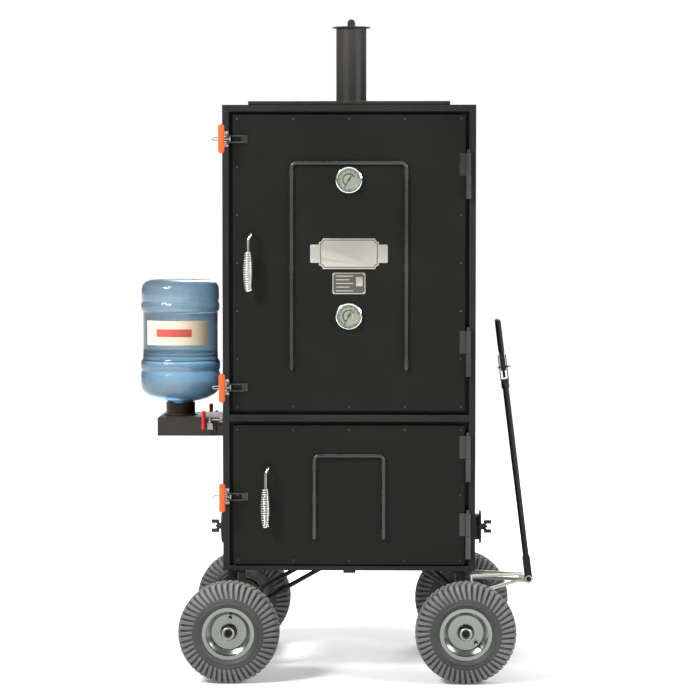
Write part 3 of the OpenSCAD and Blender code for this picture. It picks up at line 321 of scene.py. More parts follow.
def finish_of(name, colour, gloss, metal=0.0, dust_colour=(0.32, 0.3, 0.27), dust=0.15, mottle=0.05,
              spread=0.12, coarse=400.0, fine=2200.0, depth=0.15, coat=0.0, ior=1.5, see_through=0.0):
    """A finish with uneven sheen, dust on top and a fine skin; depth is the bump in mm."""
    material = bpy.data.materials.new(name)
    tree, shader = nodes_of(material)
    place = tree.nodes.new("ShaderNodeTexCoord").outputs["Object"]
    worn = tree.nodes.new("ShaderNodeGroup")
    worn.node_tree = weathering
    worn.inputs["Colour"].default_value = (*colour, 1)
    worn.inputs["Dust colour"].default_value = (*dust_colour, 1)
    for label, value in (("Dust", dust), ("Mottle", mottle), ("Gloss", gloss), ("Spread", spread)):
        worn.inputs[label].default_value = value
    skin = tree.nodes.new("ShaderNodeGroup")
    skin.node_tree = skin_bump
    skin.inputs["Coarse"].default_value = coarse
    skin.inputs["Fine"].default_value = fine
    bump = tree.nodes.new("ShaderNodeBump")
    bump.inputs["Strength"].default_value = 0.6
    bump.inputs["Distance"].default_value = depth * MM
    tree.links.new(place, worn.inputs["Place"])
    tree.links.new(place, skin.inputs["Place"])
    tree.links.new(worn.outputs["Colour"], shader.inputs["Base Color"])
    tree.links.new(worn.outputs["Roughness"], shader.inputs["Roughness"])
    tree.links.new(skin.outputs["Height"], bump.inputs["Height"])
    tree.links.new(bump.outputs["Normal"], shader.inputs["Normal"])
    shader.inputs["Metallic"].default_value = metal
    shader.inputs["Coat Weight"].default_value = coat
    shader.inputs["IOR"].default_value = ior
    shader.inputs["Transmission Weight"].default_value = see_through
    return material


def wear(node, material):
    """Gives a CAD node this finish."""
    slots = frame["nodes"][node].data.materials
    slots.clear()
    slots.append(material)


panel_black = finish_of("panel_black", (0.008, 0.008, 0.0074), 0.42, mottle=0.006, dust=0.12, ior=1.2)
# The frame rails take the same satin black as the panels, painted a little lighter here as painted light: the lighter
# colour stands in for the light that the frame catches.
frame_black_painted_lighter = finish_of("frame_black_painted_lighter", (0.012, 0.012, 0.0112), 0.46, mottle=0.015, dust=0.25, ior=1.25)
flue_black = finish_of("flue_black", (0.022, 0.021, 0.02), 0.46, mottle=0.03, depth=0.2, ior=1.35)
chassis_black = finish_of("chassis_black", (0.014, 0.014, 0.0135), 0.5, mottle=0.03, dust=0.35, ior=1.3)
tank_black = finish_of("tank_black", (0.025, 0.021, 0.017), 0.42, mottle=0.03, dust=0.15, ior=1.3)

rod_black = finish_of("rod_black", (0.014, 0.014, 0.013), 0.28, mottle=0.05, dust=0.3, ior=1.55)
for node in ("outer_panels", "upper_door_pan", "lower_door_pan"):
    wear(node, panel_black)
for node in ("upper_stiffener", "lower_stiffener", "frame_knuckles", "upper_door_fittings",
             "lower_door_fittings"):
    wear(node, rod_black)
wear("frame_rails", frame_black_painted_lighter)
for node in ("chimney_pipe", "chimney_cap", "vent_necks", "damper_left", "damper_right"):
    wear(node, flue_black)
for node in ("underframe", "fixed_axle", "steer_axle", "tow_tube", "tow_grip"):
    wear(node, chassis_black)
for node in ("water_tank", "tank_bracket", "tank_collar"):
    wear(node, tank_black)


# ---- Inside of the cabinet ----
# Liner, rack rails, basket, ash pan and feed pipe are bare steel, blued and browned by fire.
# Racks and water pan are stainless, and mineral wool fills the walls.

fired_steel = finish_of("fired_steel", (0.1, 0.088, 0.078), 0.5, metal=0.75, mottle=0.3,
                        dust_colour=(0.07, 0.04, 0.025), dust=0.1, spread=0.25, coarse=250.0)
stainless = finish_of("stainless", (0.5, 0.49, 0.47), 0.32, metal=1.0, mottle=0.15,
                      dust_colour=(0.2, 0.15, 0.1), dust=0.05, coarse=150.0, fine=3000.0, depth=0.04)
rock_wool = finish_of("rock_wool", (0.55, 0.49, 0.26), 0.95, mottle=0.5, coarse=180.0, fine=1200.0, depth=2.5,
                      dust_colour=(0.34, 0.29, 0.15))
for node in ("liner", "rack_rails", "charcoal_basket", "ash_pan", "feed_pipe", "upper_door_liner",
             "lower_door_liner"):
    wear(node, fired_steel)
for node in ("cooking_racks", "water_pan"):
    wear(node, stainless)
wear("insulation", rock_wool)


# ---- Zinc and other bright metal ----
# Latch bases, rods, the tongue and the hitch pin are zinc plated or galvanised steel.

zinc_plate = finish_of("zinc_plate", (0.46, 0.45, 0.42), 0.36, metal=0.9, mottle=0.25, coarse=300.0,
                       dust_colour=(0.25, 0.24, 0.22), dust=0.1, depth=0.06)
galvanised = finish_of("galvanised", (0.5, 0.49, 0.44), 0.45, metal=0.7, mottle=0.35, coarse=90.0,
                       dust_colour=(0.3, 0.29, 0.26), dust=0.2, depth=0.12)
for node in ("latch_bases", "latch_bolt_top", "latch_bolt_middle", "latch_bolt_bottom", "hitch_pin"):
    wear(node, zinc_plate)
wear("tongue", galvanised)


# ---- Wheels: tyres ----
# Pneumatic turf tyres moulded in carbon rubber. A lathe-turned carcass carries rows of
# moulded blocks round the crown and long lugs that run down both shoulders.

rubber = finish_of("tyre_rubber", (0.019, 0.0195, 0.02), 0.6, mottle=0.12, dust=0.5, spread=0.15,
                   dust_colour=(0.3, 0.295, 0.285), coarse=500.0, fine=1800.0, depth=0.25)
worn_tread = finish_of("worn_tread", (0.085, 0.086, 0.086), 0.62, mottle=0.3, dust=0.9, spread=0.2,
                       dust_colour=(0.36, 0.355, 0.345), coarse=400.0, fine=1800.0, depth=0.3)
WHEELS = ("front_left", "front_right", "rear_left", "rear_right")
ALONG_Y, UPRIGHT = (0, 1, 0), (0, 0, 1)


def pick(obj):
    """Only obj is selected, and it is the active object."""
    bpy.ops.object.select_all(action="DESELECT")
    obj.select_set(True)
    bpy.context.view_layer.objects.active = obj


def edit_all():
    """Opens the active object's mesh with all of it selected."""
    bpy.ops.object.mode_set(mode="EDIT")
    bpy.ops.mesh.select_all(action="SELECT")


def back_to_objects():
    """Closes the mesh."""
    bpy.ops.object.mode_set(mode="OBJECT")


def set_down(obj, location=True, rotation=True, scale=True):
    """Puts the object's place, turn and size in its mesh."""
    pick(obj)
    bpy.ops.object.transform_apply(location=location, rotation=rotation, scale=scale)
    return obj


def line_of(points):
    """A chain of vertices through the points, drawn by extruding from the first one."""
    bpy.ops.object.select_all(action="DESELECT")
    bpy.ops.mesh.primitive_plane_add(size=0.01)
    bpy.ops.object.mode_set(mode="EDIT")
    bpy.ops.mesh.merge(type="CENTER")
    bpy.ops.transform.translate(value=points[0])
    for a, b in zip(points, points[1:]):
        bpy.ops.mesh.extrude_vertices_move(TRANSFORM_OT_translate={"value": Vector(b) - Vector(a)})
    back_to_objects()
    return bpy.context.object


def tidy_mesh(obj):
    """Merges doubled points and turns every face outwards."""
    pick(obj)
    edit_all()
    bpy.ops.mesh.remove_doubles(threshold=1e-5)
    bpy.ops.mesh.normals_make_consistent(inside=False)
    back_to_objects()


def in_mm(*points):
    """The same points in metres."""
    return [tuple(value * MM for value in point) for point in points]


def turned(points, axis, steps=96):
    """A lathe-turned solid: the outline spun once round an axis through the world origin."""
    obj = line_of(points)
    edit_all()
    bpy.ops.mesh.spin(steps=steps, angle=2 * math.pi, center=(0, 0, 0), axis=axis)
    back_to_objects()
    tidy_mesh(obj)
    return obj


def joined(pieces):
    """One object from several."""
    bpy.ops.object.select_all(action="DESELECT")
    for piece in pieces:
        piece.select_set(True)
    bpy.context.view_layer.objects.active = pieces[0]
    if len(pieces) > 1:
        bpy.ops.object.join()
    return bpy.context.object


def settle(obj, name, body, slot, *finishes, stands_for=(), angle=32):
    """Puts a finished piece in the object: its place in its mesh, a name, a body and a finish."""
    set_down(obj)
    bpy.ops.object.shade_smooth_by_angle(angle=math.radians(angle))
    obj.name = obj.data.name = name
    for finish in finishes:
        obj.data.materials.append(finish)
    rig.ride(obj, body)
    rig.slot(obj, slot)
    if stands_for:
        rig.replaces(obj, *stands_for)
    return obj


def copy_of(obj, offset=(0, 0, 0)):
    """A copy with its own mesh, moved by offset."""
    pick(obj)
    bpy.ops.object.duplicate(linked=False)
    bpy.ops.transform.translate(value=offset)
    return bpy.context.object


def apply_all(obj):
    """Applies every modifier in order."""
    pick(obj)
    for modifier in list(obj.modifiers):
        bpy.ops.object.modifier_apply(modifier=modifier.name)


def in_a_row(obj, count, step):
    """count copies of obj, each moved by step from the last."""
    row = obj.modifiers.new("row", "ARRAY")
    row.count = count
    row.use_relative_offset = False
    row.use_constant_offset = True
    row.constant_offset_displace = step
    apply_all(obj)
    return obj


def broken_edges(obj, width, segments=1, angle=60):
    """Rounds the edges that turn by more than angle."""
    edge = obj.modifiers.new("edge", "BEVEL")
    edge.width = width
    edge.segments = segments
    edge.limit_method = "ANGLE"
    edge.angle_limit = math.radians(angle)
    apply_all(obj)
    return obj


def repeated(obj, count, sweep=2 * math.pi, axis=1):
    """count copies of obj, evenly turned over sweep about an axis through the world origin."""
    bpy.ops.object.empty_add(location=(0, 0, 0))
    step = bpy.context.object
    step.rotation_euler[axis] = sweep / count
    bpy.context.view_layer.update()
    array = obj.modifiers.new("round", "ARRAY")
    array.count = count
    array.use_relative_offset = False
    array.use_object_offset = True
    array.offset_object = step
    apply_all(obj)
    bpy.data.objects.remove(step)
    return obj


def bar_along(points, width, thickness):
    """A flat bar whose outer face follows the points in the YZ plane, as wide as width along X."""
    obj = line_of([(-width / 2, y, z) for y, z in points])
    edit_all()
    bpy.ops.mesh.extrude_region_move(TRANSFORM_OT_translate={"value": (width, 0, 0)})
    bpy.ops.mesh.select_all(action="SELECT")
    bpy.ops.mesh.normals_make_consistent(inside=False)
    back_to_objects()
    if sum(p.center.dot(p.normal) for p in obj.data.polygons) < 0:
        bpy.ops.object.mode_set(mode="EDIT")
        bpy.ops.mesh.flip_normals()
        back_to_objects()
    wall = obj.modifiers.new("wall", "SOLIDIFY")
    wall.thickness = thickness
    wall.offset = -1
    return broken_edges(obj, 1.2 * MM)


tyre_lo, tyre_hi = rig.box("tyre_front_left")
TYRE_R = (tyre_hi.z - tyre_lo.z) / 2
TYRE_W = (tyre_hi.y - tyre_lo.y) / 2
TREAD = 7 * MM
LUGS = 50
half_outline = [
    (TYRE_W - 13 * MM, 76.4 * MM), (TYRE_W - 11 * MM, 88 * MM), (TYRE_W - 6 * MM, 93 * MM),
    (TYRE_W - 2.5 * MM, 97 * MM), (TYRE_W - 1.2 * MM, 100 * MM), (TYRE_W - 2.6 * MM, 102 * MM),
    (TYRE_W - 1.6 * MM, 108 * MM), (TYRE_W - 0.4 * MM, 111 * MM), (TYRE_W - 1.6 * MM, 113 * MM),
    (TYRE_W - 2.2 * MM, 120 * MM), (TYRE_W - 5.5 * MM, 133 * MM), (TYRE_W - 11 * MM, 145 * MM),
    (TYRE_W - 20 * MM, TYRE_R - TREAD - 3.5 * MM), (TYRE_W - 34 * MM, TYRE_R - TREAD - 0.8 * MM)]
around = [(0, y, z) for y, z in half_outline] + [(0, -y, z) for y, z in reversed(half_outline)]
inside = [(0, -TYRE_W + 23 * MM, 77 * MM), (0, -TYRE_W + 14 * MM, 110 * MM), (0, -TYRE_W + 26 * MM, 145 * MM),
          (0, TYRE_W - 26 * MM, 145 * MM), (0, TYRE_W - 14 * MM, 110 * MM), (0, TYRE_W - 23 * MM, 77 * MM)]
carcass = turned(around + inside + around[:1], ALONG_Y, steps=120)
shoulder = [(TYRE_W - 0.6 * MM, 116 * MM), (TYRE_W - 0.3 * MM, 128 * MM), (TYRE_W - 4 * MM, 146 * MM),
            (TYRE_W - 11 * MM, TYRE_R - 8 * MM), (TYRE_W - 19 * MM, TYRE_R - 2.6 * MM),
            (TYRE_W - 31 * MM, TYRE_R - 0.4 * MM)]
pitch = 2 * math.pi / LUGS
lug_rows = []
for side in (1, -1):
    lug = bar_along([(side * y, z) for y, z in shoulder], 11.5 * MM, 6 * MM)
    pick(lug)
    for vertex in lug.data.vertices:
        inner = max(0.0, (150 * MM - vertex.co.z) / (34 * MM))
        vertex.co.x = vertex.co.x * (1 - 0.42 * inner) - side * 5 * MM * inner
    tidy_mesh(lug)
    lug.rotation_euler[1] = 0.0 if side > 0 else pitch / 2
    set_down(lug, location=False, scale=False)
    lug_rows.append(repeated(lug, LUGS))
for row, (offset, turn) in enumerate(((-19 * MM, 0.25), (0.0, 0.0), (19 * MM, 0.75))):
    bpy.ops.object.select_all(action="DESELECT")
    bpy.ops.mesh.primitive_cube_add(size=1, location=(0, 0, 0))
    block = bpy.context.object
    bpy.ops.object.mode_set(mode="EDIT")
    bpy.ops.transform.resize(value=(12.5 * MM, 14 * MM, TREAD + 2 * MM))
    bpy.ops.transform.translate(value=(0, 0, TYRE_R - (TREAD + 2 * MM) / 2))
    bpy.ops.transform.rotate(value=math.radians(24 if row % 2 else -24), orient_axis="Z",
                             center_override=(0, 0, TYRE_R))
    bpy.ops.transform.translate(value=(0, offset, 0))
    bpy.ops.transform.rotate(value=pitch * turn, orient_axis="Y", center_override=(0, 0, 0))
    back_to_objects()
    edge = block.modifiers.new("edge", "BEVEL")
    edge.width = 1.6 * MM
    apply_all(block)
    lug_rows.append(repeated(block, LUGS))
carcass.data.materials.append(rubber)
for lugs in lug_rows:
    lugs.data.materials.append(worn_tread)
tyre = joined([carcass] + lug_rows)

for wheel in WHEELS:
    lo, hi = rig.box("tyre_" + wheel)
    settle(copy_of(tyre, (lo + hi) / 2), "tyre_tread_" + wheel, "wheel_" + wheel, "tyre_rubber",
           stands_for=("tyre_" + wheel,), angle=40)
bpy.data.objects.remove(tyre)


# ---- Wheels: rims and valves ----
# Pressed steel rims in silver-green metallic paint on a hub tube, with a snap-in rubber
# valve through the well and a thin dust ring round the hub.

rim_paint = finish_of("rim_paint", (0.24, 0.27, 0.24), 0.2, metal=0.92, mottle=0.2, dust=0.12, spread=0.12,
                      dust_colour=(0.2, 0.19, 0.16), coarse=300.0, depth=0.05)
valve_rubber = finish_of("valve_rubber", (0.012, 0.012, 0.012), 0.6, dust=0.1, coarse=700.0, depth=0.08)
VALVE_R = 47 * MM
valve_turns = {"front_left": 5, "front_right": 135, "rear_left": 200, "rear_right": 300}
for wheel in WHEELS:
    wear("rim_" + wheel, rim_paint)
    lo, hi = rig.box("tyre_" + wheel)
    centre = (lo + hi) / 2
    out = -1 if centre.y < 0 else 1
    face = out * 9 * MM
    stem = turned([(0, face, 0), (0, face, 6.5 * MM), (0, face + out * 3 * MM, 6 * MM),
                   (0, face + out * 5 * MM, 4.6 * MM), (0, face + out * 20 * MM, 3.8 * MM),
                   (0, face + out * 21 * MM, 3 * MM), (0, face + out * 21 * MM, 0)],
                  ALONG_Y, steps=20)
    cap = turned([(0, face + out * 20.5 * MM, 0), (0, face + out * 20.5 * MM, 4 * MM),
                  (0, face + out * 30 * MM, 3.8 * MM), (0, face + out * 31.5 * MM, 2.6 * MM),
                  (0, face + out * 31.5 * MM, 0)], ALONG_Y, steps=20)
    turn = math.radians(valve_turns[wheel])
    spot = centre + Vector((VALVE_R * math.sin(turn), 0, VALVE_R * math.cos(turn)))
    for piece, name, slot, finish in ((stem, "valve_stem_", "tyre_rubber", valve_rubber),
                                      (cap, "valve_cap_", "zinc_fittings", zinc_plate)):
        piece.location = spot
        settle(piece, name + wheel, "wheel_" + wheel, slot, finish)
    ring_outline = ((46, 16.5), (46, 20.2), (48.6, 20.2), (49.4, 19), (49.4, 17.4), (48, 16.5), (46, 16.5))
    ring = turned([(0, out * y * MM, z * MM) for y, z in ring_outline], ALONG_Y, steps=64)
    ring.location = centre
    settle(ring, "hub_ring_" + wheel, "wheel_" + wheel, "zinc_fittings", zinc_plate)


# ---- Coil handles ----
# Stay-cool handles: a bright nickel-plated spring wound on a steel stem. The stem's top end
# is bent over and welded to the door.

bright_nickel = finish_of("bright_nickel", (0.72, 0.71, 0.68), 0.16, metal=1.0, mottle=0.12, dust=0.05,
                          spread=0.1, coarse=500.0, depth=0.02)
WIRE_R = 2.5 * MM
TURNS = 16
COIL_L = 122 * MM
COIL_R = 18.5 * MM


def round_bar(points, radius, bend=0.0, sides=3):
    """A round bar along the points, its inner corners rounded by bend."""
    obj = line_of(points)
    if bend:
        bpy.ops.object.mode_set(mode="EDIT")
        bpy.ops.mesh.select_mode(type="VERT")
        bpy.ops.mesh.select_all(action="DESELECT")
        back_to_objects()
        for vertex in obj.data.vertices[1:-1]:
            vertex.select = True
        bpy.ops.object.mode_set(mode="EDIT")
        bpy.ops.mesh.bevel(offset=bend, offset_type="OFFSET", segments=6, affect="VERTICES")
        back_to_objects()
    bpy.ops.object.convert(target="CURVE")
    obj = bpy.context.object
    obj.data.bevel_depth = radius
    obj.data.bevel_resolution = sides
    obj.data.use_fill_caps = True
    bpy.ops.object.convert(target="MESH")
    obj = bpy.context.object
    tidy_mesh(obj)
    return obj


for door in ("upper", "lower"):
    lo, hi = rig.box(door + "_handle")
    x, y = (lo.x + hi.x) / 2, lo.y + COIL_R
    bottom, top = lo.z + 6 * MM, hi.z - 5 * MM
    coil = []
    for i in range(TURNS * 12 + 1):
        t = i / (TURNS * 12)
        r = (COIL_R - WIRE_R - 6 * MM) * math.sin(math.pi * (0.12 + 0.76 * t)) + 6 * MM
        a = 2 * math.pi * TURNS * t
        coil.append((x + r * math.cos(a), y + r * math.sin(a), bottom + COIL_L * t))
    spring = round_bar(coil, WIRE_R, sides=2)
    stem = round_bar([(x, y, bottom - 4 * MM), (x, y, top - 22 * MM), (x + 11 * MM, y + 8 * MM, top),
                      (x + 11 * MM, hi.y, top)], 4.6 * MM, bend=9 * MM)
    cap_end = turned(in_mm((0, 0, 0), (7.6, 0, 0), (8.2, 0, 2), (8, 0, 6), (5.5, 0, 8), (0, 0, 8)),
                     UPRIGHT, steps=32)
    cap_end.location = (x, y, bottom - 5 * MM)
    set_down(cap_end)
    settle(joined([spring, stem, cap_end]), door + "_coil_handle", door + "_door", "nickel_wire",
           bright_nickel, stands_for=(door + "_handle",), angle=50)


# ---- Thermometers ----
# Two bimetal thermometers in pressed chrome cases: an enamelled dial with a scale, a domed
# glass, and a pointer that turns on its own spindle.

chrome = finish_of("chrome", (0.8, 0.8, 0.79), 0.09, metal=1.0, mottle=0.05, dust=0.0, spread=0.05,
                   coarse=600.0, depth=0.01)
enamel = finish_of("enamel", (0.42, 0.46, 0.36), 0.35, mottle=0.25, dust=0.0, dust_colour=(0.35, 0.4, 0.3),
                   coarse=900.0, depth=0.02)
dial_ink = finish_of("dial_ink", (0.02, 0.02, 0.02), 0.5, dust=0.0, coarse=900.0, depth=0.01)
dial_green = finish_of("dial_green", (0.12, 0.17, 0.08), 0.45, dust=0.0, coarse=900.0, depth=0.01)
lens_glass = finish_of("lens_glass", (0.96, 0.98, 0.97), 0.03, dust=0.0, mottle=0.02, spread=0.02,
                       coarse=300.0, depth=0.005, ior=1.3, see_through=1.0)
pivots = {joint["name"]: Vector(joint["pos_m"]) for joint in frame["joints"] if joint.get("pos_m")}
door_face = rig.box("upper_door_pan")[0].y
SCALE_SWEEP = math.radians(290)
for name in ("upper", "lower"):
    centre = pivots["thermometer_%s_needle" % name].copy()
    centre.y = door_face
    case = turned(in_mm((0, 0, 0), (0, 0, 42), (0, -2, 44), (0, -10, 44), (0, -12.6, 43),
                        (0, -14, 40.6), (0, -13.6, 38.6), (0, -12, 37.8), (0, -5, 37.6), (0, -5, 0)),
                  ALONG_Y, steps=96)
    dial = turned(in_mm((0, -4.9, 0), (0, -4.9, 37), (0, -5.6, 37), (0, -5.8, 36.2), (0, -5.8, 0)),
                  ALONG_Y, steps=64)
    marks = []
    for count, length, width in ((58, 4.2, 0.7), (10, 8.0, 1.5)):
        bpy.ops.object.select_all(action="DESELECT")
        bpy.ops.mesh.primitive_cube_add(size=1)
        tick = bpy.context.object
        bpy.ops.object.mode_set(mode="EDIT")
        bpy.ops.transform.resize(value=(width * MM, 0.3 * MM, length * MM))
        bpy.ops.transform.translate(value=(0, -5.9 * MM, (34.5 - length / 2) * MM))
        bpy.ops.transform.rotate(value=-SCALE_SWEEP / 2, orient_axis="Y", center_override=(0, 0, 0))
        back_to_objects()
        edge = tick.modifiers.new("edge", "BEVEL")
        edge.width = 0.1 * MM
        marks.append(repeated(tick, count, SCALE_SWEEP * (1 + 1 / (count - 1))))
    band = bar_along([(-5.95 * MM, 17 * MM), (-5.95 * MM, 22 * MM)], 2.2 * MM, 0.2 * MM)
    band = repeated(band, 44, SCALE_SWEEP * 0.72)
    band.rotation_euler[1] = -SCALE_SWEEP / 2
    lens = turned(in_mm((0, -11.2, 0), (0, -11.2, 37.6), (0, -12.2, 37.6), (0, -12.9, 25),
                        (0, -13.2, 12), (0, -13.3, 0)),
                  ALONG_Y, steps=64)
    pieces = ((case, "thermometer_case_", "chrome_case", chrome), (dial, "dial_", "plate_metal", enamel),
              (joined(marks), "dial_ticks_", "needle_black", dial_ink),
              (band, "dial_band_", "needle_black", dial_green),
              (lens, "dial_glass_", "chrome_case", lens_glass))
    for piece, label, slot, finish in pieces:
        piece.location = centre
        settle(piece, label + name, "upper_door", slot, finish,
               stands_for=("thermometer_cases",) if piece is case else ())
for needle in ("needle_upper", "needle_lower"):
    wear(needle, dial_ink)


# ---- Water bottle ----
# A blown polycarbonate bottle, upside down in the collar: a thin blue wall with two pairs of
# ribs and a waist, water up to just under the paper label, and a pebbled skin off the waist.

bottle_plastic = finish_of("bottle_plastic", (0.62, 0.78, 0.89), 0.08, dust=0.0, mottle=0.15, spread=0.08,
                           dust_colour=(0.4, 0.55, 0.68), coarse=140.0, fine=500.0, depth=1.4, ior=1.4,
                           see_through=0.88)
waist_plastic = finish_of("waist_plastic", (0.5, 0.62, 0.7), 0.05, dust=0.0, mottle=0.2, spread=0.05,
                          dust_colour=(0.3, 0.4, 0.47), coarse=20.0, fine=60.0, depth=0.6, ior=1.45,
                          see_through=0.92)
water = finish_of("water", (0.66, 0.84, 0.95), 0.02, dust=0.0, mottle=0.0, spread=0.0, coarse=8.0, fine=20.0,
                  depth=0.3, ior=1.2, see_through=0.9)
label_paper = finish_of("label_paper", (0.72, 0.62, 0.45), 0.6, dust=0.0, mottle=0.3,
                        dust_colour=(0.6, 0.45, 0.28), coarse=600.0, depth=0.05)
label_red = finish_of("label_red", (0.5, 0.06, 0.05), 0.55, dust=0.0, coarse=600.0, depth=0.04)


def darker_edge_on(material, colour, blend):
    """Tints a clear wall where it is looked along, as thicker plastic does."""
    tree, shader = nodes_of(material)
    facing = tree.nodes.new("ShaderNodeLayerWeight")
    facing.inputs["Blend"].default_value = blend
    through = shader.inputs["Base Color"].links[0].from_socket
    tree.links.new(mix(tree, facing.outputs["Facing"], through, colour), shader.inputs["Base Color"])


darker_edge_on(bottle_plastic, (0.06, 0.16, 0.26), 0.42)
darker_edge_on(waist_plastic, (0.03, 0.08, 0.12), 0.5)
lo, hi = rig.box("water_bottle")
axis_x = (lo.x + hi.x) / 2
R = (hi.x - lo.x) / 2
H = 416 * MM
foot = hi.z - H
top = H / MM
skin = [(0, top - 6), (60, top - 5), (84, top), (101, top - 1), (116, top - 6), (126, top - 15),
        (131, top - 27), (132, top - 66), (129, top - 71), (129, top - 75), (132.5, top - 80),
        (133, top - 98), (131, top - 104), (127.5, top - 110), (127, top - 150), (127, top - 230),
        (127.5, top - 268), (131, top - 273), (135, top - 279), (135, top - 301), (131.5, top - 307),
        (131.5, top - 311), (134.8, top - 317), (135, 60), (132, 44), (122, 30), (106, 19), (84, 10),
        (56, 3.5), (34, 1), (28, -2), (28, -37)]
WALL = 1.6
cut_high = skin.index((127, top - 150)) - 1
cut_low = skin.index((131, top - 273))
for label, part, plastic in (("bottle_top", skin[:cut_high + 1], bottle_plastic),
                             ("bottle_waist", skin[cut_high:cut_low + 1], waist_plastic),
                             ("bottle_base", skin[cut_low:], bottle_plastic)):
    outer = [(r * MM, 0, z * MM) for r, z in part]
    inner = [((r - WALL) * MM, 0, (z - WALL * (z > top - 30)) * MM) for r, z in reversed(part) if r]
    loop = outer + inner + ([(0, 0, (top - 6 - WALL) * MM)] if part[0][0] == 0 else outer[:1])
    shell = turned(loop, UPRIGHT, steps=96)
    shell.location = (axis_x, 0, foot)
    settle(shell, label, "bottle", "bottle_blue", plastic,
           stands_for=("water_bottle",) if label == "bottle_top" else (), angle=60)
WATER_TOP = 170
inside = [(r - WALL - 0.6, z) for r, z in skin if z < WATER_TOP]
body = turned([(0, 0, WATER_TOP * MM), ((127 - WALL - 0.6) * MM, 0, WATER_TOP * MM)]
              + [(r * MM, 0, z * MM) for r, z in inside] + [(0, 0, inside[-1][1] * MM)],
              UPRIGHT, steps=72)
body.location = (axis_x, 0, foot)
settle(body, "bottle_water", "bottle", "bottle_blue", water, angle=60)


def wrapped_sheet(radius, low, high, start, sweep, thickness):
    """A thin sheet wrapped round the upright axis at the world origin; angles from -Y, to +X."""
    a = math.radians(start)
    first = (radius * math.sin(a), -radius * math.cos(a), low)
    obj = line_of([first, (first[0], first[1], high)])
    edit_all()
    bpy.ops.mesh.spin(steps=24, angle=-math.radians(sweep), center=(0, 0, 0), axis=(0, 0, 1))
    bpy.ops.mesh.select_all(action="SELECT")
    bpy.ops.mesh.normals_make_consistent(inside=False)
    back_to_objects()
    face = obj.data.polygons[0]
    if face.normal.dot(Vector((face.center.x, face.center.y, 0))) < 0:
        bpy.ops.object.mode_set(mode="EDIT")
        bpy.ops.mesh.flip_normals()
        back_to_objects()
    wall = obj.modifiers.new("wall", "SOLIDIFY")
    wall.thickness = thickness
    wall.offset = 1
    apply_all(obj)
    return obj


for name, radius, low, high, start, sweep, finish in (
        ("bottle_label", 127.4, 198, 280, -56, 108, label_paper),
        ("bottle_label_band", 127.8, 226, 252, -34, 56, label_red)):
    sheet = wrapped_sheet(radius * MM, low * MM, high * MM, start, sweep, 0.3 * MM)
    sheet.location = (axis_x, 0, foot)
    settle(sheet, name, "bottle", "plate_metal", finish, angle=60)


# ---- Steelwork: rolled and ground edges ----
# Every sheet, rail and bar has its arrises broken by folding or grinding. Each piece is the
# same steel with its edges rounded, so that the light catches them.

CART_SHIFT = Vector((49.0, 0, 0))
LATCH_HEIGHTS = {"top": 1774, "middle": 962, "bottom": 602}
slot_of = {part["node"]: part["material_slot"] for part in frame["record"]["subparts"]}


def cart(x, y, z):
    """A place given in mm from the middle of the cart, at floor level."""
    return (Vector((x, y, z)) + CART_SHIFT) * MM


def eased(node, width, segments=2):
    """The piece's own steel with its sharp edges rounded to width, in the same finish."""
    source = frame["nodes"][node]
    finish = source.data.materials[0]
    body = source["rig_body"]
    pick(source)
    bpy.ops.object.duplicate(linked=False)
    obj = bpy.context.object
    bpy.ops.object.parent_clear(type="CLEAR_KEEP_TRANSFORM")
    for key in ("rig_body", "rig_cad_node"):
        del obj[key]
    obj.data.materials.clear()
    edit_all()
    bpy.ops.mesh.remove_doubles(threshold=1e-6)
    bpy.ops.mesh.customdata_custom_splitnormals_clear()
    bpy.ops.mesh.dissolve_limited(angle_limit=math.radians(0.5))
    back_to_objects()
    broken_edges(obj, width * MM, segments, angle=50)
    settle(obj, node + "_steel", body, slot_of[node], finish, stands_for=(node,), angle=35)
    flat_first = obj.modifiers.new("flat_first", "WEIGHTED_NORMAL")
    flat_first.keep_sharp = True
    flat_first.weight = 80
    apply_all(obj)


for node, width in (
        ("frame_rails", 1.5), ("upper_door_pan", 1.6), ("lower_door_pan", 1.6), ("underframe", 1.5),
        ("fixed_axle", 1.5), ("steer_axle", 1.2), ("water_tank", 1.5), ("tank_bracket", 1.2),
        ("latch_bases", 0.6), ("upper_door_fittings", 0.6), ("lower_door_fittings", 0.6),
        ("frame_knuckles", 0.6), ("tow_tube", 0.8), ("damper_left", 0.6), ("damper_right", 0.6),
        ("vent_necks", 0.6), ("tank_collar", 0.8), ("ash_pan", 0.8)):
    eased(node, width)


# ---- Welds and tacks ----
# Stitch and fillet welds left as laid: overlapping ripples in the same paint. They hold the
# hinge leaves, latch plates, vents, collar and hoops, and tacks hold the door sheets.


def ripples(start, end, radius, flat=0.6, gap=0.75):
    """A weld bead from start to end, one squashed ripple after another."""
    a, b = Vector(start), Vector(end)
    count = max(2, int((b - a).length / (radius * gap * 1.6)))
    bpy.ops.object.select_all(action="DESELECT")
    bpy.ops.mesh.primitive_uv_sphere_add(segments=8, ring_count=5, radius=radius, location=a)
    drop = bpy.context.object
    along = (b - a).normalized()
    drop.scale = [1 - (1 - flat) * abs(c) for c in along]
    set_down(drop, location=False, rotation=False)
    return in_a_row(drop, count, (b - a) / (count - 1))


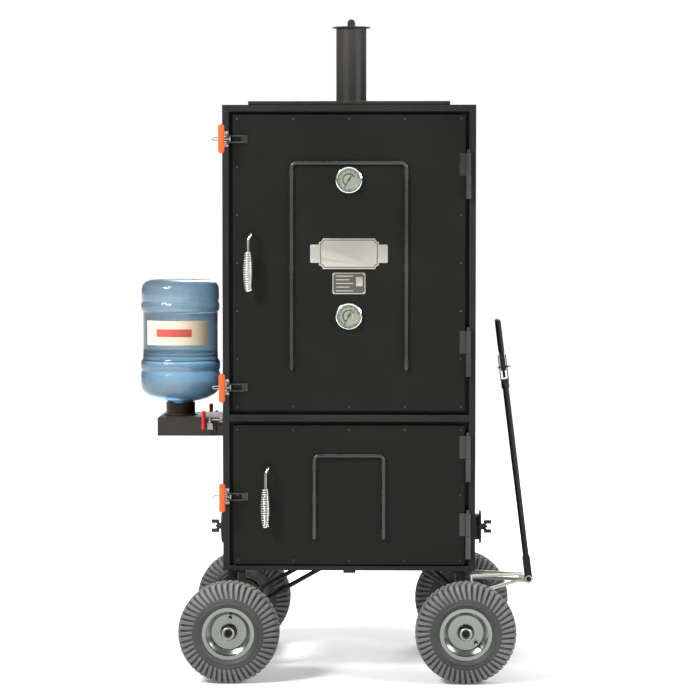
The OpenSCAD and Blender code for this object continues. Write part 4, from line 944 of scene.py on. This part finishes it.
weld_paint = finish_of("weld_paint", (0.014, 0.014, 0.013), 0.3, mottle=0.05, dust=0.3, coarse=900.0,
                       depth=0.3, ior=1.5)
door_beads = {"upper_door": [], "lower_door": []}
frame_beads = []
HINGES = {"upper_door": (1073, 1654), "lower_door": (473, 728)}
for door, heights in HINGES.items():
    for z in heights:
        door_beads[door].append(ripples(cart(363, -336.6, z + 2), cart(363, -336.6, z + 74), 2.4 * MM))
        frame_beads.append(ripples(cart(398.5, -330.6, z - 73), cart(398.5, -330.6, z - 2), 2.4 * MM))
for door, w, h, top_z in (("upper_door", 376, 683, 1696), ("lower_door", 228, 280, 737)):
    for side in (-1, 1):
        x = side * w / 2
        for step in range(3):
            z = top_z - 24 - step * (h - 60) / 2
            for offset in (-6.2, 6.2):
                door_beads[door].append(
                    ripples(cart(x + offset, -336.8, z), cart(x + offset, -336.8, z - 22), 2.2 * MM))
for z in LATCH_HEIGHTS.values():
    frame_beads.append(ripples(cart(-411.6, -330.8, z - 24), cart(-411.6, -330.8, z + 24), 1.8 * MM))
for door, pieces in door_beads.items():
    settle(joined(pieces), door + "_welds", door, "black_paint", weld_paint, angle=60)
settle(joined(frame_beads), "frame_welds", "cart", "black_paint", weld_paint, angle=60)


def ring_bead(radius, drop, count, axis_turn, place, flat):
    """Weld ripples in a ring, made round the world origin and moved to place."""
    bpy.ops.object.select_all(action="DESELECT")
    bpy.ops.mesh.primitive_uv_sphere_add(segments=8, ring_count=5, radius=drop)
    obj = bpy.context.object
    bpy.ops.object.mode_set(mode="EDIT")
    bpy.ops.transform.resize(value=flat)
    bpy.ops.transform.translate(value=(0, 0, radius) if axis_turn == 0 else (radius, 0, 0))
    back_to_objects()
    obj = repeated(obj, count, axis=axis_turn)
    obj.location = place
    set_down(obj)
    return obj


collar_lo, collar_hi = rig.box("tank_collar")
rings = [ring_bead(45 * MM, 2.4 * MM, 72, 0, (side * 415 * MM + CART_SHIFT.x * MM, 0, 465 * MM),
                   (0.8, 1, 0.7)) for side in (-1, 1)]
collar_centre = ((collar_lo.x + collar_hi.x) / 2, 0, collar_lo.z + 4.3 * MM)
rings.append(ring_bead((collar_hi.x - collar_lo.x) / 2 - 8 * MM, 2.2 * MM, 84, 2, collar_centre,
                       (1, 0.7, 0.8)))
settle(joined(rings), "ring_welds", "cart", "black_paint", weld_paint, angle=60)

tack_rows = {"upper_door": (885, 1853, 5, 7), "lower_door": (378, 835, 5, 3)}
for door, (low, high, across, up) in tack_rows.items():
    spots = [(-366 + 732 * i / (across - 1), z) for i in range(across) for z in (low + 13, high - 13)]
    spots += [(x, low + 13 + (high - low - 26) * k / (up - 1)) for k in range(1, up - 1) for x in (-366, 366)]
    heads = []
    for x, z in spots:
        bpy.ops.object.select_all(action="DESELECT")
        bpy.ops.mesh.primitive_uv_sphere_add(segments=12, ring_count=6, radius=3.2 * MM,
                                             location=cart(x, -336, z))
        head = bpy.context.object
        head.scale = (1, 0.5, 1)
        set_down(head)
        heads.append(head)
    settle(joined(heads), door + "_tacks", door, "black_paint", weld_paint, angle=60)


# ---- Door gaskets ----
# Braided fibreglass rope glued round the back of each door, in four straight runs that meet
# at the corners.

rope_fibre = finish_of("rope_fibre", (0.2, 0.19, 0.17), 0.85, mottle=0.5, dust=0.1,
                       dust_colour=(0.06, 0.05, 0.045), coarse=700.0, fine=3000.0, depth=0.5)


def rope_run(a, b, width, thickness, pitch):
    """A straight run of flat braid from a to b: two rows of slanted yarns that cross."""
    a, b = Vector(a), Vector(b)
    along = (b - a).normalized()
    upright = abs(along.z) > 0.5
    count = max(2, int((b - a).length / pitch))
    yarns = []
    for row, slant in ((-1, 1), (1, -1)):
        bpy.ops.object.select_all(action="DESELECT")
        bpy.ops.mesh.primitive_uv_sphere_add(segments=8, ring_count=6, radius=0.5)
        yarn = bpy.context.object
        bpy.ops.object.mode_set(mode="EDIT")
        bpy.ops.transform.resize(value=(width * 0.66, thickness * 0.97, pitch * 1.25))
        bpy.ops.transform.rotate(value=math.radians(32) * slant, orient_axis="Y", center_override=(0, 0, 0))
        bpy.ops.transform.translate(value=(row * width * 0.23, 0, 0))
        if not upright:
            bpy.ops.transform.rotate(value=math.pi / 2, orient_axis="Y", center_override=(0, 0, 0))
        back_to_objects()
        yarn.location = a + along * pitch * (0.5 if row < 0 else 1.0)
        set_down(yarn)
        yarns.append(in_a_row(yarn, count - 1, (b - a) / count))
    return yarns


for door in ("upper", "lower"):
    lo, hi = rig.box(door + "_gasket")
    y = (lo.y + hi.y) / 2
    wide, thick = 16.5 * MM, hi.y - lo.y
    x0, x1, z0, z1 = lo.x + 9 * MM, hi.x - 9 * MM, lo.z + 9 * MM, hi.z - 9 * MM
    runs = []
    for a, b in (((x0, y, z0), (x0, y, z1)), ((x1, y, z0), (x1, y, z1)), ((x0, y, z0), (x1, y, z0)),
                 ((x0, y, z1), (x1, y, z1))):
        runs += rope_run(a, b, wide, thick, 7 * MM)
    core = []
    for x in (x0, x1):
        core.append(round_bar([(x, y, z0), (x, y, z1)], thick * 0.42))
    for z in (z0, z1):
        core.append(round_bar([(x0, y, z), (x1, y, z)], thick * 0.42))
    settle(joined(runs + core), door + "_rope", door + "_door", "gasket_rope", rope_fibre,
           stands_for=(door + "_gasket",), angle=60)


# ---- Door plates ----
# A pressed nameplate with stepped ends and a raised border, and a smaller framed data plate
# below it. The first is pewter with a dark border, and the second has plain bars on a dark field.

pewter = finish_of("pewter_plate", (0.42, 0.41, 0.36), 0.34, metal=0.5, mottle=0.3, dust=0.0, spread=0.15,
                   dust_colour=(0.25, 0.24, 0.2), coarse=250.0, fine=1500.0, depth=0.06)
plate_ink = finish_of("plate_ink", (0.05, 0.045, 0.035), 0.5, dust=0.0, coarse=900.0, depth=0.02)
dark_border = finish_of("dark_border", (0.03, 0.029, 0.026), 0.4, metal=0.3, mottle=0.3, dust=0.05,
                        coarse=400.0, depth=0.05)


def punched(points, through, bevel, segments=1):
    """A flat plate: the face inside the points, pushed through by a vector, its edges rounded."""
    obj = line_of(points)
    edit_all()
    bpy.ops.mesh.edge_face_add()
    bpy.ops.mesh.select_all(action="SELECT")
    bpy.ops.mesh.extrude_region_move(TRANSFORM_OT_translate={"value": through})
    bpy.ops.mesh.select_all(action="SELECT")
    bpy.ops.mesh.normals_make_consistent(inside=False)
    back_to_objects()
    return broken_edges(obj, bevel, segments)


def pressed_plate(outline, y, thickness, bevel):
    """A flat plate with this outline in the XZ plane, its back at y."""
    return punched([(x, y, z) for x, z in outline], (0, -thickness, 0), bevel, segments=2)


def badge_outline(centre, w, h, ear_w, ear_h, cut):
    """A wide plate with a stepped ear at each end and hollow cut corners."""
    cx, cz = centre.x, centre.z
    right = [(w / 2 + ear_w, 0), (w / 2 + ear_w, ear_h / 2 - 3 * MM), (w / 2 + ear_w - 3 * MM, ear_h / 2),
             (w / 2, ear_h / 2)]
    arc = [(w / 2 - cut * math.sin(math.radians(a)), h / 2 - cut * math.cos(math.radians(a)))
           for a in (15, 30, 45, 60, 75)]
    top_right = right + [(w / 2, h / 2 - cut)] + arc + [(w / 2 - cut, h / 2)]
    top_left = [(-x, z) for x, z in reversed(top_right)]
    top = top_right + top_left
    bottom = [(x, -z) for x, z in reversed(top) if z > 0]
    return [(cx + x, cz + z) for x, z in top + bottom]


door_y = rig.box("upper_door_pan")[0].y
NAME_Z, DATA_Z = 1400, 1303
name_centre = cart(0, 0, NAME_Z)
data_centre = cart(0, 0, DATA_Z)
badge = pressed_plate(badge_outline(name_centre, 196 * MM, 100 * MM, 29 * MM, 60 * MM, 12 * MM), door_y,
                      2.2 * MM, 0.7 * MM)
settle(badge, "name_plate", "upper_door", "plate_metal", pewter, stands_for=("door_plates",))
rim_outer = pressed_plate(badge_outline(name_centre, 188 * MM, 92 * MM, 0.6 * MM, 30 * MM, 11 * MM),
                          door_y - 2 * MM, 0.8 * MM, 0.3 * MM)
settle(rim_outer, "name_plate_border", "upper_door", "plate_metal", dark_border)
field = pressed_plate(badge_outline(name_centre, 182 * MM, 86 * MM, 0.6 * MM, 28 * MM, 10 * MM),
                      door_y - 2.4 * MM, 0.7 * MM, 0.2 * MM)
settle(field, "name_plate_field", "upper_door", "plate_metal", pewter)


def slab(centre, w, h, y, thickness, bevel, corner=1.5 * MM):
    """A thin rectangular plate on the door with clipped corners."""
    x, z, c = w / 2, h / 2, corner
    outline = [(x, -z + c), (x, z - c), (x - c, z), (-x + c, z), (-x, z - c), (-x, -z + c), (-x + c, -z),
               (x - c, -z)]
    return pressed_plate([(centre.x + u, centre.z + v) for u, v in outline], y, thickness, bevel)


settle(slab(data_centre, 108 * MM, 70 * MM, door_y, 1.2 * MM, 0.4 * MM, 4 * MM), "data_plate", "upper_door",
       "plate_metal", pewter)
settle(slab(data_centre, 102 * MM, 64 * MM, door_y - 1 * MM, 0.5 * MM, 0.2 * MM, 3 * MM), "data_plate_field",
       "upper_door", "plate_metal", plate_ink)
bars = []
for row in range(5):
    spot = data_centre + Vector((-20 * MM if row % 2 else -14 * MM, 0, (24 - row * 12) * MM))
    bars.append(slab(spot, (44 if row % 2 else 56) * MM, 3.4 * MM, door_y - 1.5 * MM, 0.3 * MM, 0.1 * MM,
                     0.5 * MM))
bars.append(slab(data_centre + Vector((34 * MM, 0, 6 * MM)), 22 * MM, 30 * MM, door_y - 1.5 * MM, 0.3 * MM,
                 0.1 * MM))
settle(joined(bars), "data_plate_bars", "upper_door", "plate_metal", pewter)
pins = []
rivet_spots = [(side * 118, NAME_Z) for side in (-1, 1)]
rivet_spots += [(side * 49, DATA_Z + rise * 30) for side in (-1, 1) for rise in (-1, 1)]
for x, z in rivet_spots:
    head = turned(in_mm((0, -1.6, 2.6), (0, -2.4, 2.6), (0, -3.2, 1.8), (0, -3.5, 0)),
                  ALONG_Y, steps=16)
    head.location = cart(x, 0, z) + Vector((0, door_y, 0))
    set_down(head)
    pins.append(head)
settle(joined(pins), "plate_rivets", "upper_door", "plate_metal", zinc_plate, angle=50)


# ---- Toggle latches ----
# Zinc-plated toggle clamps that hold the doors shut: two punched cheeks on a riveted pin,
# with an orange vinyl grip dipped over the tee of the lever.

orange_vinyl = finish_of("orange_vinyl", (0.85, 0.09, 0.014), 0.34, mottle=0.1, dust=0.08, spread=0.12,
                         dust_colour=(0.6, 0.12, 0.04), coarse=500.0, fine=2600.0, depth=0.1, ior=1.4)
red_vinyl = finish_of("red_vinyl", (0.6, 0.014, 0.022), 0.3, mottle=0.15, dust=0.08, spread=0.12,
                      dust_colour=(0.4, 0.05, 0.04), coarse=500.0, fine=2600.0, depth=0.1, ior=1.4)


def capsule(radius, length, neck=0.0):
    """A dipped grip round the upright axis at the origin: full ends and a slight waist."""
    r, h = radius, length / 2
    half = [(0, h), (0.45 * r, h - 0.02 * r), (0.78 * r, h - 0.2 * r), (0.95 * r, h - 0.5 * r),
            (r, h - 0.9 * r), (0.98 * r, h * 0.5), (0.93 * r, h * 0.2), (0.92 * r, 0)]
    outline = half + [(x, -z) for x, z in reversed(half[:-1])]
    return turned([(x, 0, z) for x, z in outline], UPRIGHT, steps=40)


def link_plate(ends, width, low, thickness):
    """A punched flat link in the XY plane, rounded at both ends, its under side at low."""
    (px, py), (qx, qy) = ends
    a = math.atan2(qy - py, qx - px)
    r = width / 2
    outline = [(qx + r * math.cos(a + math.radians(t)), qy + r * math.sin(a + math.radians(t)))
               for t in range(-90, 91, 18)]
    outline += [(px + r * math.cos(a + math.radians(t)), py + r * math.sin(a + math.radians(t)))
                for t in range(90, 271, 18)]
    return punched([(x, y, low) for x, y in outline], (0, 0, thickness), 0.5 * MM)


def rivet(x, y, low, high, radius):
    """A rivet along the upright at x, y with a domed head at each end."""
    dome = radius * 0.45
    obj = turned([(0, 0, low - dome), (radius * 0.75, 0, low - dome * 0.7), (radius, 0, low),
                  (radius * 0.55, 0, low), (radius * 0.55, 0, high), (radius, 0, high),
                  (radius * 0.75, 0, high + dome * 0.7), (0, 0, high + dome)], UPRIGHT, steps=20)
    obj.location = (x, y, 0)
    set_down(obj)
    return obj


for name, z in LATCH_HEIGHTS.items():
    pivot, joint_pin, grip = cart(-402, -343, z), cart(-416, -350, z), cart(-414, -385, z)
    steel = []
    for side in (-1, 1):
        low = z * MM + side * 8.5 * MM - 1.8 * MM
        steel.append(link_plate(((pivot.x, pivot.y), (joint_pin.x, joint_pin.y)), 12 * MM, low, 3.6 * MM))
        steel.append(link_plate(((joint_pin.x, joint_pin.y), (grip.x, grip.y)), 9 * MM, low + 0.1 * MM,
                                3.4 * MM))
    steel.append(rivet(pivot.x, pivot.y, (z - 15.5) * MM, (z + 15.5) * MM, 5 * MM))
    steel.append(rivet(joint_pin.x, joint_pin.y, (z - 10.6) * MM, (z + 10.6) * MM, 4.4 * MM))
    settle(joined(steel), "latch_cheeks_" + name, "latch_" + name, "orange_grip", zinc_plate,
           stands_for=("latch_lever_" + name,), angle=40)
    handle = capsule(10.5 * MM, 94 * MM)
    handle.location = grip
    settle(handle, "latch_grip_" + name, "latch_" + name, "orange_grip", orange_vinyl, angle=60)
    screws = []
    for dz in (-19, 19):
        head = turned(in_mm((0, -3, 0), (0, -3, 4.2), (0, -4.6, 4), (0, -5.6, 2.6), (0, -5.9, 0)),
                      ALONG_Y, steps=20)
        head.location = cart(-398, -330, z + dz)
        set_down(head)
        screws.append(head)
    settle(joined(screws), "latch_screws_" + name, "cart", "zinc_fittings", zinc_plate, angle=50)

clamp_px, clamp_bar_x, clamp_z = -471, -431, 840
for name, side in (("front", -1), ("rear", 1)):
    y = side * 152
    pivot, bar, grip = cart(clamp_px, y, clamp_z), cart(clamp_bar_x, y, clamp_z), \
        cart(clamp_px - 20, y + side * 19, clamp_z)
    boss = turned(in_mm((3.2, 0, -10.6), (6.4, 0, -10.6), (7, 0, -9.8), (7, 0, 6.6), (6.4, 0, 7.4),
                        (3.2, 0, 7.4), (3.2, 0, -10.6)),
                  UPRIGHT, steps=32)
    boss.location = pivot
    set_down(boss)
    arm = link_plate(((pivot.x, pivot.y), (grip.x, grip.y)), 8 * MM, (clamp_z - 3) * MM, 6 * MM)
    start = pivot + Vector((6 * MM, 0, 0))
    hook = round_bar([start, bar], 2.5 * MM)
    head = round_bar([bar - Vector((0, 0, 4.5 * MM)), bar + Vector((0, 0, 4.5 * MM))], 2.4 * MM)
    nuts = []
    for step in range(3):
        near = start + Vector(((7 + 7 * step) * MM, 0, 0))
        far = start + Vector(((10.5 + 7 * step) * MM, 0, 0))
        nuts.append(round_bar([near, far], 3.4 * MM, sides=1))
    settle(joined([boss, arm, hook, head] + nuts), "clamp_link_" + name, "clamp_" + name, "red_grip",
           zinc_plate, stands_for=("tank_clamp_" + name,), angle=40)
    handle = capsule(7 * MM, 63 * MM)
    handle.location = grip
    settle(handle, "clamp_grip_" + name, "clamp_" + name, "red_grip", red_vinyl, angle=60)


# ---- Tow bar hardware ----
# The bar turns on a zinc-plated bolt: a hexagon head with broken edges, over a round
# washer.

bolt_place = cart(605, -21.2, 287)
head = turned(in_mm((0, 0, 0), (0, 0, 12), (0, -1.8, 12), (0, -1.8, 9.8), (0, -2, 0)), ALONG_Y, steps=36)
head.location = bolt_place + Vector((0, 8.2 * MM, 0))
pick(head)
bpy.ops.object.transform_apply(location=True, rotation=True, scale=True)
bpy.ops.object.select_all(action="DESELECT")
bpy.ops.mesh.primitive_cylinder_add(vertices=6, radius=9.3 * MM, depth=8.4 * MM,
                                    location=bolt_place + Vector((0, 4.4 * MM, 0)),
                                    rotation=(math.pi / 2, 0, 0))
hexagon = bpy.context.object
edge = hexagon.modifiers.new("edge", "BEVEL")
edge.width = 1.1 * MM
edge.segments = 2
apply_all(hexagon)
set_down(hexagon)
settle(joined([head, hexagon]), "tow_bolt_head", "tow_handle", "zinc_fittings", zinc_plate, angle=40)


bpy.context.view_layer.update()
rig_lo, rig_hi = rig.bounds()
with open("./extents.json", "w") as f:
    json.dump({"cad": [list(cad_lo), list(cad_hi)], "visual": [list(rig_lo), list(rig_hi)]}, f)
